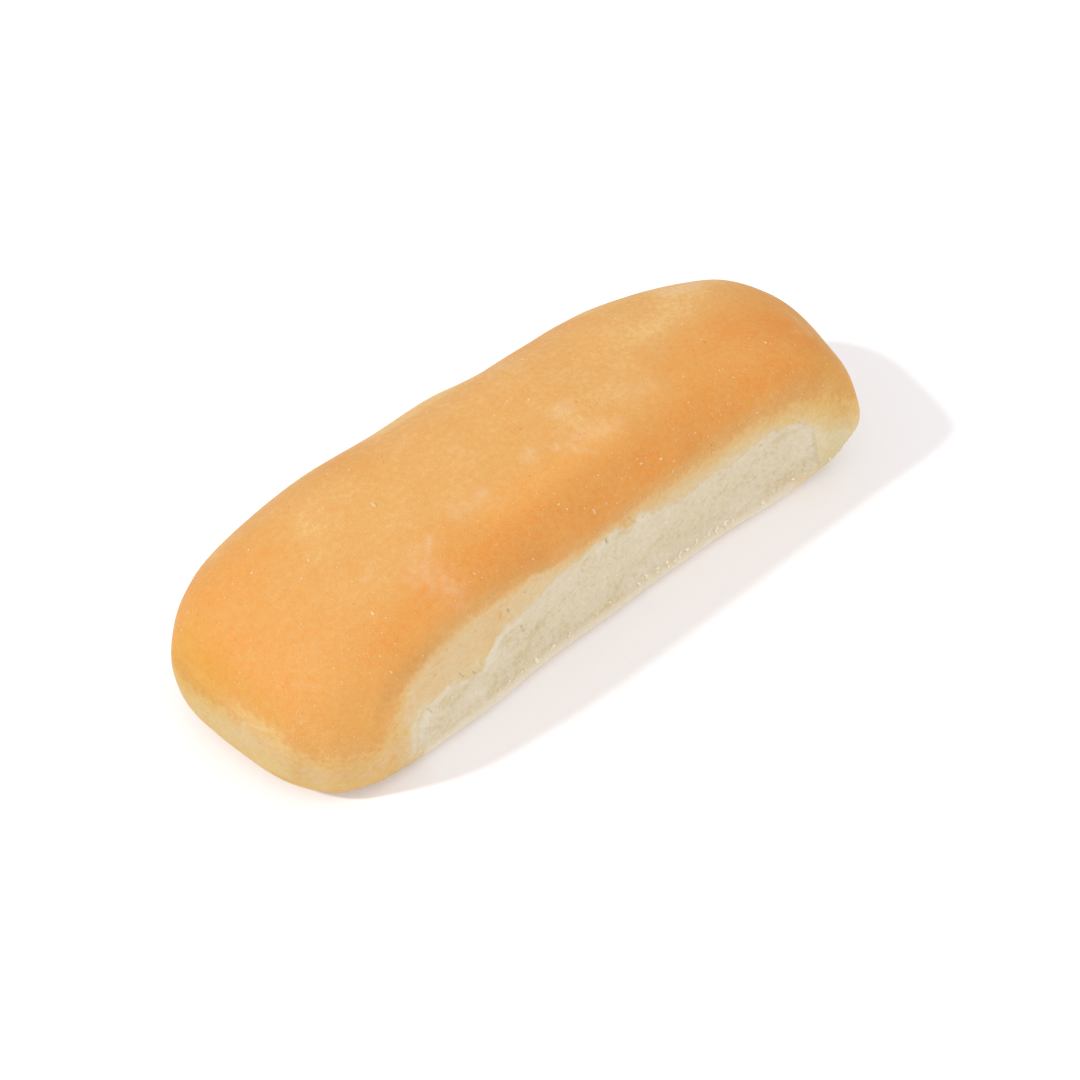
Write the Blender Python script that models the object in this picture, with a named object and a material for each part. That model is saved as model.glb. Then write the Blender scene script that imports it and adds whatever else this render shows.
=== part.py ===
"""Mini baguette: one soft white roll, torn from its neighbours in the batch.

Frame: metres, +Z up, +X along the roll towards its far end, the torn flank that is seen on -Y.
The origin is at the middle of the flat underside.

The roll is one closed body. A sliced block is cast outward from a spine onto a smooth dough form,
and the low relief of the crust, the torn flanks and the scarred ends is then raised on it.
"""
import bmesh
import bpy
import numpy as np
from mathutils import Matrix, Vector, noise

# Overall sizes
LENGTH = 0.1500
DOUGH_WIDTH = 0.0588
HEIGHT = 0.0407
HALF = LENGTH / 2

# Plan outline, a superellipse: how far it narrows towards the far end, how far its middle bows
# towards +Y, the power of each end (higher is squarer), and how far each blunt end is turned
NARROWING = -0.015
BOW = 0.0023
SQUARE_NEAR = 3.63
SQUARE_FAR = 3.19
TURN_NEAR = 0.034
TURN_FAR = -0.047
TURN_ARM = 0.025

# Cross-section: the widest line, the power of the dome above it, the inward draft below it,
# the fall of the crown towards the far end, and the rounding into the underside
WAIST = 0.0150
DOME = 2.27
DRAFT = 0.060
DRAFT_FAR = 0.044
CROWN_FALL = 0.012
BASE_ROUND = 0.0048

# Swellings: place along the roll (-1 is the near end, 1 the far end), reach, height
HIDDEN_SIDE_SWELLINGS = ((0.62, 0.25, 0.0003), (0.05, 0.30, -0.0013), (-0.62, 0.25, 0.0003))
SEEN_SIDE_SWELLINGS = ((0.75, 0.25, 0.0062), (-0.75, 0.25, -0.0003))
CROWN_SWELLINGS = ((0.60, 0.25, 0.0002), (0.05, 0.30, 0.0006), (-0.60, 0.25, 0.0007))

# Flat faces left where the roll touched its neighbours: the distance from the roll's middle plane,
# where each fades out towards the ends, how softly it meets the crust, and the height above which
# the seen flank curls over into the crust
SEEN_FLANK = 0.0193
SEEN_FLANK_SLOPE = -0.0046
SEEN_FLANK_CURVE = 0.0037
SEEN_FLANK_LEAN = -0.022
SEEN_FLANK_ENDS = (-0.71, 0.81)
HIDDEN_FLANK = 0.0273
HIDDEN_FLANK_ENDS = (-0.62, 0.66)
FLANK_FADE = 0.21
FLANK_FADE_DEPTH = 0.006
SEEN_FLANK_ROUND = 0.0038
HIDDEN_FLANK_ROUND = 0.0016
SHOULDER = 0.0275
SHOULDER_FALL = 0.0042
SHOULDER_RADIUS = 0.0130
NEAR_SCAR = 0.0746
NEAR_SCAR_SLANT = -0.09
FAR_SCAR = 0.0749
FAR_SCAR_SLANT = 0.05
SCAR_ROUND = 0.0020

# The torn crumb of the seen flank: the height of its ragged upper edge along the roll,
# and the foot where the smooth rim below begins
TORN_TOP = (
    (-0.0515, 0.0030),
    (-0.0495, 0.0120),
    (-0.0480, 0.0165),
    (-0.0420, 0.0188),
    (-0.0380, 0.0183),
    (-0.0345, 0.0152),
    (-0.0325, 0.0165),
    (-0.0300, 0.0212),
    (-0.0250, 0.0228),
    (-0.0150, 0.0246),
    (-0.0060, 0.0264),
    (0.0050, 0.0266),
    (0.0140, 0.0250),
    (0.0300, 0.0240),
    (0.0450, 0.0232),
    (0.0530, 0.0200),
    (0.0570, 0.0150),
    (0.0600, 0.0060),
)
HIDDEN_TORN_TOP = (
    (-0.0450, 0.0060),
    (-0.0300, 0.0165),
    (0.0050, 0.0200),
    (0.0350, 0.0170),
    (0.0480, 0.0060),
)
TORN_FOOT = 0.0052
TEAR_DEPTH = 0.0006
TEAR_EDGE = 0.0009
LIP_HEIGHT = 0.0003
LIP_REACH = 0.0016
RIM_BULGE = 0.0003

# Lumps and hollows of the crust: x, y, z, reach, height
LUMPS = (
    (-0.0200, 0.0255, 0.0310, 0.0080, -0.00035),
    (-0.0050, 0.0250, 0.0313, 0.0060, 0.00042),
    (0.0070, 0.0245, 0.0320, 0.0060, -0.00038),
    (0.0260, 0.0255, 0.0305, 0.0040, 0.00020),
    (0.0340, 0.0255, 0.0300, 0.0090, 0.00045),
    (0.0560, 0.0220, 0.0285, 0.0060, -0.00015),
    (0.0640, 0.0185, 0.0260, 0.0050, 0.00025),
    (0.0700, 0.0135, 0.0240, 0.0040, -0.00015),
    (0.0730, 0.0040, 0.0220, 0.0060, 0.00030),
    (0.0715, -0.0080, 0.0215, 0.0050, -0.00045),
    (0.0690, -0.0180, 0.0115, 0.0050, 0.00135),
    (0.0640, -0.0175, 0.0030, 0.0055, 0.00070),
    (0.0485, -0.0170, 0.0020, 0.0050, 0.00020),
    (0.0340, -0.0170, 0.0017, 0.0070, -0.00022),
    (0.0170, -0.0176, 0.0014, 0.0090, -0.00015),
    (0.0030, -0.0183, 0.0018, 0.0060, 0.00015),
    (-0.0150, -0.0195, 0.0015, 0.0070, -0.00020),
    (-0.0220, -0.0203, 0.0020, 0.0040, 0.00020),
    (-0.0310, -0.0210, 0.0016, 0.0050, 0.00030),
    (-0.0640, -0.0195, 0.0028, 0.0040, 0.00040),
    (-0.0740, 0.0135, 0.0070, 0.0040, 0.00020),
    (-0.0710, 0.0200, 0.0175, 0.0040, -0.00030),
    (-0.0600, 0.0250, 0.0230, 0.0070, 0.00035),
    (0.0400, 0.0060, 0.0370, 0.0120, -0.00060),
    (0.0200, 0.0100, 0.0395, 0.0100, -0.00040),
    (0.0520, -0.0060, 0.0350, 0.0120, 0.00050),
    (-0.0080, -0.0040, 0.0405, 0.0140, 0.00040),
)
DOUGH_WAVE = 0.00022
DOUGH_WAVE_LENGTH = 0.017
CRUMB_WAVE = 0.00025
CRUMB_WAVE_LENGTH = 0.0055

# The sliced block and the spine that it is cast from
SLICES = (64, 22, 16)
BLOCK = (1.0, 0.34, 0.26)
SPINE = 0.72
SPINE_RISE = 0.40
LONGEST_RAY = 0.060
HALVINGS = 24
MERGE = 1e-5
PROBE = 1e-5
FLAT = 1e-7

CRUST_COLOUR = (0.78, 0.47, 0.17, 1.0)
CRUST_ROUGHNESS = 0.55


def smooth(start, end, value):
    """0 at start and 1 at end, with an even ease between them."""
    t = np.clip((value - start) / (end - start), 0, 1)
    return t * t * (3 - 2 * t)


def swell(u, swellings):
    """Sum of the swellings along the roll."""
    return sum(height * np.exp(-(((u - place) / reach) ** 2)) for place, reach, height in swellings)


def blend(a, b, rounding):
    """The larger of a and b, with the crease between them rounded, and the share that a has."""
    share = np.clip(0.5 + 0.5 * (a - b) / rounding, 0, 1)
    return a * share + b * (1 - share) + rounding * share * (1 - share), share


def dough(x, y, z):
    """The risen roll before anything touched it: below 0 inside, in metres near its skin."""
    along = x / HALF
    turn = np.where(along < 0, TURN_NEAR, TURN_FAR)
    u = along + turn * (y / TURN_ARM) * along**2
    middle = BOW * (1 - u**2)
    half_width = DOUGH_WIDTH / 2 * (1 + NARROWING * u)
    hidden_side = half_width + swell(u, HIDDEN_SIDE_SWELLINGS)
    seen_side = half_width + swell(u, SEEN_SIDE_SWELLINGS)
    half_width = np.where(y > middle, hidden_side, seen_side)
    crown = HEIGHT * (1 + CROWN_FALL * u) + swell(u, CROWN_SWELLINGS)
    square = SQUARE_NEAR + (SQUARE_FAR - SQUARE_NEAR) * smooth(-0.5, 0.5, u)
    plan = (np.abs(u) ** square + (np.abs(y - middle) / half_width) ** square) ** (1 / square)
    above = np.clip(z - WAIST, 0, None) / (crown - WAIST)
    below = np.clip(WAIST - z, 0, None) / WAIST
    draft = DRAFT + DRAFT_FAR * smooth(0, 1, u)
    dome = (plan**DOME + above**DOME) ** (1 / DOME) - 1
    wall = plan * (1 + draft * below**2) - 1
    return np.where(z > WAIST, dome, wall) * HEIGHT / 2


def fade(u, ends):
    """How far a flat face draws back from the roll beyond its ends."""
    near, far = ends
    return FLANK_FADE_DEPTH * (smooth(near, near - FLANK_FADE, u) + smooth(far, far + FLANK_FADE, u))


def seen_flank(x, y, z):
    """The flat face on the seen side: above 0 outside it."""
    u = x / HALF
    distance = SEEN_FLANK + SEEN_FLANK_SLOPE * u + SEEN_FLANK_CURVE * u**2 + fade(u, SEEN_FLANK_ENDS)
    over = np.clip(z - SHOULDER + SHOULDER_FALL * u, 0, None)
    return -y - distance + SEEN_FLANK_LEAN * (z - WAIST) + over**2 / (2 * SHOULDER_RADIUS)


def hidden_flank(x, y, z):
    """The flat face on the hidden side."""
    return y - HIDDEN_FLANK - fade(x / HALF, HIDDEN_FLANK_ENDS)


def form(x, y, z):
    """The whole smooth roll, and the shares of its skin that the two flanks take."""
    body, crust = blend(dough(x, y, z), seen_flank(x, y, z), SEEN_FLANK_ROUND)
    seen = 1 - crust
    body, crust = blend(body, hidden_flank(x, y, z), HIDDEN_FLANK_ROUND)
    hidden = 1 - crust
    body, _ = blend(body, -x - NEAR_SCAR + NEAR_SCAR_SLANT * y, SCAR_ROUND)
    body, _ = blend(body, x - FAR_SCAR + FAR_SCAR_SLANT * y, SCAR_ROUND)
    body, _ = blend(body, -z, BASE_ROUND)
    return body, seen, hidden


def cast(block):
    """Moves the block's points out along their rays onto the smooth roll."""
    aim = block * np.array(BLOCK) * HALF
    reach = SPINE * HALF
    start = np.zeros_like(aim)
    start[:, 0] = np.clip(aim[:, 0], -reach, reach)
    ray = aim - start
    ray /= np.linalg.norm(ray, axis=1, keepdims=True)
    start[:, 1] = BOW * (1 - (start[:, 0] / HALF) ** 2)
    start[:, 2] = SPINE_RISE * HEIGHT
    low = np.zeros(len(aim))
    high = np.full(len(aim), LONGEST_RAY)
    for _ in range(HALVINGS):
        middle = (low + high) / 2
        inside = form(*(start + ray * middle[:, None]).T)[0] < 0
        low = np.where(inside, middle, low)
        high = np.where(inside, high, middle)
    return start + ray * low[:, None]


def outward(points):
    """Unit normals of the smooth roll."""
    steps = PROBE * np.eye(3)
    rise = [form(*(points + step).T)[0] - form(*(points - step).T)[0] for step in steps]
    normals = np.stack(rise, axis=1)
    return normals / np.linalg.norm(normals, axis=1, keepdims=True)


def waves(points, length, seed):
    """Soft noise from -1 to 1 whose waves are about one length long."""
    shift = Vector((seed, -seed, 2 * seed))
    return np.array([noise.noise(Vector(point) / length + shift) for point in points])


def tear(x, z, top, share, ragged):
    """How deep inside the torn crumb a point lies, below 0 outside it."""
    edge = np.interp(x, *zip(*top), left=0, right=0)
    inside = np.minimum(edge - z, z - TORN_FOOT) + ragged
    return np.where(share > 0.5, inside, -TORN_FOOT)


def relief(points):
    """How far each point of the smooth roll is raised along its normal."""
    x, y, z = points.T
    _, seen, hidden = form(x, y, z)
    raised = DOUGH_WAVE * waves(points, DOUGH_WAVE_LENGTH, 3) * (1 - np.maximum(seen, hidden))
    for *place, reach, height in LUMPS:
        away = np.linalg.norm(points - np.array(place), axis=1)
        raised += height * np.exp(-((away / reach) ** 2))
    crumb = waves(points, CRUMB_WAVE_LENGTH, 11)
    for top, share in ((TORN_TOP, seen), (HIDDEN_TORN_TOP, hidden)):
        depth = tear(x, z, top, share, TEAR_EDGE * crumb)
        torn = smooth(-TEAR_EDGE, TEAR_EDGE, depth)
        raised += torn * (CRUMB_WAVE * crumb - TEAR_DEPTH)
        raised += LIP_HEIGHT * share * np.exp(-(((depth + LIP_REACH) / LIP_REACH) ** 2))
        raised += RIM_BULGE * share * smooth(TORN_FOOT, 0.6 * TORN_FOOT, z)
    return raised * smooth(0, TORN_FOOT / 2, z)


def sliced_block():
    """A closed block from -1 to 1 on each axis, its six sides cut into quads."""
    bm = bmesh.new()
    for axis in range(3):
        across, up = (axis + 1) % 3, (axis + 2) % 3
        for side in (1, -1):
            matrix = Matrix.Identity(4)
            for column, row, sign in ((0, across, 1), (1, up, side), (2, axis, side)):
                matrix.col[column].xyz = sign * Matrix.Identity(3).col[row]
            matrix.translation = side * Matrix.Identity(3).col[axis]
            bmesh.ops.create_grid(
                bm, x_segments=SLICES[across], y_segments=SLICES[up], size=1.0, matrix=matrix
            )
    bmesh.ops.remove_doubles(bm, verts=bm.verts, dist=MERGE)
    return bm


def join_flat_base(bm):
    """Makes one face of the quads that lie flat on the ground."""
    flat = [face for face in bm.faces if all(abs(vert.co.z) < FLAT for vert in face.verts)]
    bmesh.ops.dissolve_faces(bm, faces=flat, use_verts=False)


def crust_material():
    """Plain baked crust."""
    material = bpy.data.materials.new("crust")
    material.use_nodes = True
    shader = material.node_tree.nodes["Principled BSDF"]
    shader.inputs["Base Color"].default_value = CRUST_COLOUR
    shader.inputs["Roughness"].default_value = CRUST_ROUGHNESS
    shader.inputs["Metallic"].default_value = 0.0
    return material


def make_roll():
    """The roll, its underside on the ground and its bounds centred on the origin."""
    bm = sliced_block()
    points = cast(np.array([vert.co for vert in bm.verts]))
    points += outward(points) * relief(points)[:, None]
    points[:, :2] -= (points[:, :2].min(axis=0) + points[:, :2].max(axis=0)) / 2
    points[:, 2] = np.maximum(points[:, 2], 0)
    for vert, point in zip(bm.verts, points):
        vert.co = point
    join_flat_base(bm)
    mesh = bpy.data.meshes.new("roll")
    bm.to_mesh(mesh)
    bm.free()
    mesh.materials.append(crust_material())
    mesh.shade_smooth()
    roll = bpy.data.objects.new("roll", mesh)
    bpy.context.scene.collection.objects.link(roll)
    return roll


for old in list(bpy.data.objects):
    bpy.data.objects.remove(old, do_unlink=True)
make_roll()
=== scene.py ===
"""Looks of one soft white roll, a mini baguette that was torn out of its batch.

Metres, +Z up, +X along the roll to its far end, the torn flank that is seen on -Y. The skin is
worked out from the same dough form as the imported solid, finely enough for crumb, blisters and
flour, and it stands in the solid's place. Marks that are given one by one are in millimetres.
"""

import logging
import math
from dataclasses import dataclass, field, replace
from enum import Enum

import bmesh
import bpy
import numpy as np
from mathutils import Matrix, Vector, noise
from mathutils.bvhtree import BVHTree


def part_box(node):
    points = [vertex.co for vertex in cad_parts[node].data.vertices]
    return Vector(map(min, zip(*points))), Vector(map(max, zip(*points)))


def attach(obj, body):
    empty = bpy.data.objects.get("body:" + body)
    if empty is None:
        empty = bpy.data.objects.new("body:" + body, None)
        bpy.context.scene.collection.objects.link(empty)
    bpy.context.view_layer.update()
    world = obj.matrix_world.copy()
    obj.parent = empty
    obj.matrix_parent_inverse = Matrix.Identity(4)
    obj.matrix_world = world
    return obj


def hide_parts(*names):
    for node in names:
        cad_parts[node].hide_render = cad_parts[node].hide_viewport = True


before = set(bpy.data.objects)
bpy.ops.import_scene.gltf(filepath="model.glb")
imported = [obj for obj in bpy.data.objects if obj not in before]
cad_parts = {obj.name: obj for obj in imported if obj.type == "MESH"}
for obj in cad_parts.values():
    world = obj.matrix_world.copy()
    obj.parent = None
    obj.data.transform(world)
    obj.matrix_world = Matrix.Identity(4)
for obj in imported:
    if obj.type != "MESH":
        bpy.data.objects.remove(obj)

log = logging.getLogger("roll")

Numbers = np.ndarray
Point = tuple[float, float, float]
Spot = tuple[float, float]
Line = tuple[Spot, ...]
Tint = tuple[int, int, int]

MM = 0.001
NODE = "roll"
BODY = "root"
FLANK_EDGE = (-0.014, -0.016)
NEAR_END_EDGE = (-0.066, -0.071)
FADING = ("dry", "browned")


def smooth(start: float, end: float, value: Numbers) -> Numbers:
    """Eases from 0 to 1.

    Args:
        start: where the result is 0.
        end: where the result is 1; it may be lower than start.
        value: the values to ease.

    Returns:
        Values from 0 to 1.
    """
    t = np.clip((value - start) / (end - start), 0, 1)
    return t * t * (3 - 2 * t)


def blend(a: Numbers, b: Numbers, rounding: float) -> tuple[Numbers, Numbers]:
    """Joins two forms with a rounded crease.

    Args:
        a: the first form's values.
        b: the second form's values.
        rounding: how wide the crease's rounding is, in metres.

    Returns:
        The larger of the two, rounded where they meet, and the share that a has in it.
    """
    share = np.clip(0.5 + 0.5 * (a - b) / rounding, 0, 1)
    return a * share + b * (1 - share) + rounding * share * (1 - share), share


def waves(points: Numbers, length: float, seed: float) -> Numbers:
    """Soft noise.

    Args:
        points: places, in metres.
        length: about how long one wave is, in metres.
        seed: shifts the pattern.

    Returns:
        Values from -1 to 1.
    """
    shift = Vector((seed, -seed, 2 * seed))
    return np.array([noise.noise(Vector(point) / length + shift) for point in points])


def along_line(line: Line, at: Numbers) -> Numbers:
    """Reads a line of (place, height) points, in millimetres.

    Args:
        line: the points, from left to right.
        at: places along it, in metres.

    Returns:
        Heights in metres.
    """
    places, heights = zip(*line)
    return MM * np.interp(at / MM, places, heights)


@dataclass(frozen=True)
class Dough:
    """The smooth form of the roll: risen dough, cut by the flat faces that it was left with.

    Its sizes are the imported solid's. Swellings are (place along the roll, reach, height), where
    the place runs from -1 at the near end to 1 at the far end.
    """

    length: float = 0.1500
    width: float = 0.0588
    height: float = 0.0407
    narrowing: float = -0.015
    bow: float = 0.0023
    square_near: float = 3.63
    square_far: float = 3.19
    square_change: tuple[float, float] = (-0.5, 0.5)
    turn_near: float = 0.034
    turn_far: float = -0.047
    turn_arm: float = 0.025
    waist: float = 0.0150
    dome: float = 2.27
    draft: float = 0.060
    draft_far: float = 0.044
    crown_fall: float = 0.012
    base_round: float = 0.0048
    hidden_side_swellings: tuple[Point, ...] = (
        (0.62, 0.25, 0.0003),
        (0.05, 0.30, -0.0013),
        (-0.62, 0.25, 0.0003),
    )
    seen_side_swellings: tuple[Point, ...] = ((0.75, 0.25, 0.0062), (-0.75, 0.25, -0.0003))
    crown_swellings: tuple[Point, ...] = ((0.60, 0.25, 0.0002), (0.05, 0.30, 0.0006), (-0.60, 0.25, 0.0007))
    seen_flank: float = 0.0193
    seen_flank_slope: float = -0.0046
    seen_flank_curve: float = 0.0037
    seen_flank_lean: float = -0.022
    seen_flank_ends: tuple[float, float] = (-0.71, 0.81)
    seen_flank_round: float = 0.0038
    hidden_flank: float = 0.0273
    hidden_flank_ends: tuple[float, float] = (-0.62, 0.66)
    hidden_flank_round: float = 0.0016
    flank_fade: float = 0.21
    flank_fade_depth: float = 0.006
    shoulder: float = 0.0275
    shoulder_fall: float = 0.0042
    shoulder_radius: float = 0.0130
    near_scar: float = 0.0746
    near_scar_slant: float = -0.09
    far_scar: float = 0.0749
    far_scar_slant: float = 0.05
    scar_round: float = 0.0020
    probe: float = 0.00001

    @property
    def half(self) -> float:
        """Half the length."""
        return self.length / 2

    def swell(self, u: Numbers, swellings: tuple[Point, ...]) -> Numbers:
        """Sum of the swellings at u."""
        return sum(height * np.exp(-(((u - place) / reach) ** 2)) for place, reach, height in swellings)

    def risen(self, x: Numbers, y: Numbers, z: Numbers) -> Numbers:
        """The risen dough before anything touched it.

        Args:
            x: places along the roll.
            y: places across it.
            z: heights.

        Returns:
            Values below 0 inside, in metres near the skin.
        """
        along = x / self.half
        turn = np.where(along < 0, self.turn_near, self.turn_far)
        u = along + turn * (y / self.turn_arm) * along**2
        middle = self.bow * (1 - u**2)
        half_width = self.width / 2 * (1 + self.narrowing * u)
        hidden_side = half_width + self.swell(u, self.hidden_side_swellings)
        seen_side = half_width + self.swell(u, self.seen_side_swellings)
        half_width = np.where(y > middle, hidden_side, seen_side)
        crown = self.height * (1 + self.crown_fall * u) + self.swell(u, self.crown_swellings)
        square = self.square_near + (self.square_far - self.square_near) * smooth(*self.square_change, u)
        plan = (np.abs(u) ** square + (np.abs(y - middle) / half_width) ** square) ** (1 / square)
        above = np.clip(z - self.waist, 0, None) / (crown - self.waist)
        below = np.clip(self.waist - z, 0, None) / self.waist
        draft = self.draft + self.draft_far * smooth(0, 1, u)
        domed = (plan**self.dome + above**self.dome) ** (1 / self.dome) - 1
        wall = plan * (1 + draft * below**2) - 1
        return np.where(z > self.waist, domed, wall) * self.height / 2

    def fade(self, u: Numbers, ends: tuple[float, float]) -> Numbers:
        """How far a flat face draws back from the roll beyond its ends.

        Args:
            u: places along the roll, from -1 to 1.
            ends: where the face ends, near and far.

        Returns:
            Metres.
        """
        near, far = ends
        drawn = smooth(near, near - self.flank_fade, u) + smooth(far, far + self.flank_fade, u)
        return self.flank_fade_depth * drawn

    def seen_face(self, x: Numbers, y: Numbers, z: Numbers) -> Numbers:
        """The flat face on the seen side, which curls over at its shoulder.

        Args:
            x: places along the roll.
            y: places across it.
            z: heights.

        Returns:
            Metres, above 0 outside it.
        """
        u = x / self.half
        distance = self.seen_flank + self.seen_flank_slope * u + self.seen_flank_curve * u**2
        over = np.clip(z - self.shoulder + self.shoulder_fall * u, 0, None)
        lean = self.seen_flank_lean * (z - self.waist)
        curl = over**2 / (2 * self.shoulder_radius)
        return -y - distance - self.fade(u, self.seen_flank_ends) + lean + curl

    def hidden_face(self, x: Numbers, y: Numbers) -> Numbers:
        """The flat face on the hidden side, above 0 outside it."""
        return y - self.hidden_flank - self.fade(x / self.half, self.hidden_flank_ends)

    def form(self, x: Numbers, y: Numbers, z: Numbers) -> tuple[Numbers, Numbers, Numbers]:
        """The whole smooth roll.

        Args:
            x: places along the roll.
            y: places across it.
            z: heights.

        Returns:
            Values below 0 inside, and the shares of the skin that the seen and the hidden face take.
        """
        body, crust = blend(self.risen(x, y, z), self.seen_face(x, y, z), self.seen_flank_round)
        seen = 1 - crust
        body, crust = blend(body, self.hidden_face(x, y), self.hidden_flank_round)
        hidden = 1 - crust
        body, _ = blend(body, -x - self.near_scar + self.near_scar_slant * y, self.scar_round)
        body, _ = blend(body, x - self.far_scar + self.far_scar_slant * y, self.scar_round)
        body, _ = blend(body, -z, self.base_round)
        return body, seen, hidden

    def outward(self, points: Numbers) -> Numbers:
        """Unit normals of the smooth roll.

        Args:
            points: places on its skin.

        Returns:
            One normal for each point.
        """
        steps = self.probe * np.eye(3)
        rise = [self.form(*(points + step).T)[0] - self.form(*(points - step).T)[0] for step in steps]
        normals = np.stack(rise, axis=1)
        return normals / np.linalg.norm(normals, axis=1, keepdims=True)


@dataclass(frozen=True)
class Caster:
    """Casts the points of a sliced block out onto the dough, from a spine inside it."""

    dough: Dough
    block: Point = (1.0, 0.34, 0.26)
    spine: float = 0.72
    spine_rise: float = 0.40
    longest_ray: float = 0.060
    halvings: int = 26

    def cast(self, places: Numbers) -> Numbers:
        """Moves places on the block out along their rays.

        Args:
            places: points of a block from -1 to 1 on each axis.

        Returns:
            The points where the rays leave the dough.
        """
        half = self.dough.half
        aim = places * np.array(self.block) * half
        start = np.zeros_like(aim)
        start[:, 0] = np.clip(aim[:, 0], -self.spine * half, self.spine * half)
        ray = aim - start
        ray /= np.linalg.norm(ray, axis=1, keepdims=True)
        start[:, 1] = self.dough.bow * (1 - (start[:, 0] / half) ** 2)
        start[:, 2] = self.spine_rise * self.dough.height
        low = np.zeros(len(aim))
        high = np.full(len(aim), self.longest_ray)
        for _ in range(self.halvings):
            middle = (low + high) / 2
            inside = self.dough.form(*(start + ray * middle[:, None]).T)[0] < 0
            low = np.where(inside, middle, low)
            high = np.where(inside, high, middle)
        return start + ray * low[:, None]


@dataclass(frozen=True)
class Lump:
    """A soft swelling or hollow of the crust, in millimetres."""

    x: float
    y: float
    z: float
    reach: float
    height: float

    def raised(self, points: Numbers) -> Numbers:
        """How far it raises each point, in metres."""
        away = np.linalg.norm(points / MM - np.array((self.x, self.y, self.z)), axis=1)
        return MM * self.height * np.exp(-((away / self.reach) ** 2))


class Side(Enum):
    """The side that a mark is placed on, by the two axes that it is seen along."""

    TOP = (0, 1)
    FLANK = (0, 2)
    NEAR_END = (1, 2)

    def faced(self, points: Numbers) -> Numbers:
        """How far each point belongs to the side.

        Args:
            points: places on the skin.

        Returns:
            Shares from 0 to 1.
        """
        x, y, _ = points.T
        if self is Side.FLANK:
            return smooth(*FLANK_EDGE, y)
        if self is Side.NEAR_END:
            return smooth(*NEAR_END_EDGE, x)
        return np.ones(len(points))


@dataclass(frozen=True)
class Smear:
    """A soft band where the skin differs from what is round it, in millimetres on one side."""

    start: Spot
    end: Spot
    reach: float
    amount: float
    side: Side = Side.TOP

    def strength(self, points: Numbers) -> Numbers:
        """Works out its amount, which fades with the distance from the line from start to end.

        Args:
            points: places on the skin.

        Returns:
            Its amount at each point.
        """
        here = points[:, self.side.value] / MM - np.array(self.start)
        run = np.array(self.end) - np.array(self.start)
        share = np.clip(here @ run / (run @ run), 0, 1)
        away = np.linalg.norm(here - share[:, None] * run, axis=1)
        return self.amount * self.side.faced(points) * np.exp(-((away / self.reach) ** 2))


def smeared(smears: tuple[Smear, ...], points: Numbers) -> Numbers:
    """The amounts of some smears together at each point."""
    return sum(smear.strength(points) for smear in smears)


@dataclass(frozen=True)
class Pore:
    """A narrow hole in the skin: its middle, length and turn from the level, in millimetres on one side."""

    along: float
    up: float
    length: float = 0.3
    turn: float = 0.0
    width: float = 0.22
    dark: float = 0.7
    side: Side = Side.FLANK

    def strength(self, points: Numbers) -> Numbers:
        """Works out how dark it makes the skin.

        Args:
            points: places on the skin.

        Returns:
            Its darkness in the hole and 0 away from it.
        """
        turn = math.radians(self.turn)
        arm = np.array((math.cos(turn), math.sin(turn))) * self.length / 2
        middle = np.array((self.along, self.up))
        slit = Smear(tuple(middle - arm), tuple(middle + arm), self.width, self.dark, self.side)
        return slit.strength(points)


@dataclass(frozen=True)
class Tear:
    """The torn crumb of one flank, below a line of (x, z) points in millimetres."""

    top: Line
    foot: float = 0.0046
    depth: float = 0.00020
    step: float = 0.0014
    wander: float = 0.0008
    beside: float = 0.0012
    least_share: float = 0.3

    def below(self, x: Numbers, z: Numbers) -> Numbers:
        """How far below the line each point lies, in metres."""
        inside = (x > MM * self.top[0][0]) & (x < MM * self.top[-1][0])
        return np.where(inside, along_line(self.top, x), 0) - z

    def edge(self, x: Numbers, z: Numbers) -> Numbers:
        """How far below or beside the line each point lies, in metres."""
        return np.min([self.below(x + shift, z) for shift in (-self.beside, 0, self.beside)], axis=0)

    def inside(self, x: Numbers, z: Numbers, share: Numbers, ragged: Numbers) -> Numbers:
        """How deep inside the torn crumb each point lies.

        Args:
            x: places along the roll.
            z: heights.
            share: the share of the skin that the flank's flat face takes.
            ragged: how far the line is moved, in metres.

        Returns:
            Metres, below 0 outside the crumb.
        """
        inside = np.minimum(self.below(x, z), z - self.foot) + ragged
        return np.where(share > self.least_share, inside, -self.foot)


@dataclass(frozen=True)
class Rise:
    """How the crust colours upward on one side.

    Each line of (x, z) points, in millimetres, is where the skin reaches the next of the stages.
    """

    least: Line
    lines: tuple[Line, ...]
    stages: tuple[float, ...] = (0.50, 0.70)

    def level(self, x: Numbers, z: Numbers, golden: Numbers) -> Numbers:
        """Works out how far the skin is baked.

        Args:
            x: places along the roll.
            z: heights.
            golden: how far the crust is baked above the last line.

        Returns:
            The level, from the least one below the first line to golden above the last.
        """
        level = along_line(self.least, x) / MM
        lower = along_line(self.lines[0], x)
        reached = level
        for line, stage in zip(self.lines[1:], (*self.stages, golden)):
            upper = along_line(line, x)
            level = level + (stage - reached) * np.clip((z - lower) / (upper - lower), 0, 1)
            lower, reached = upper, stage
        return level


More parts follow.
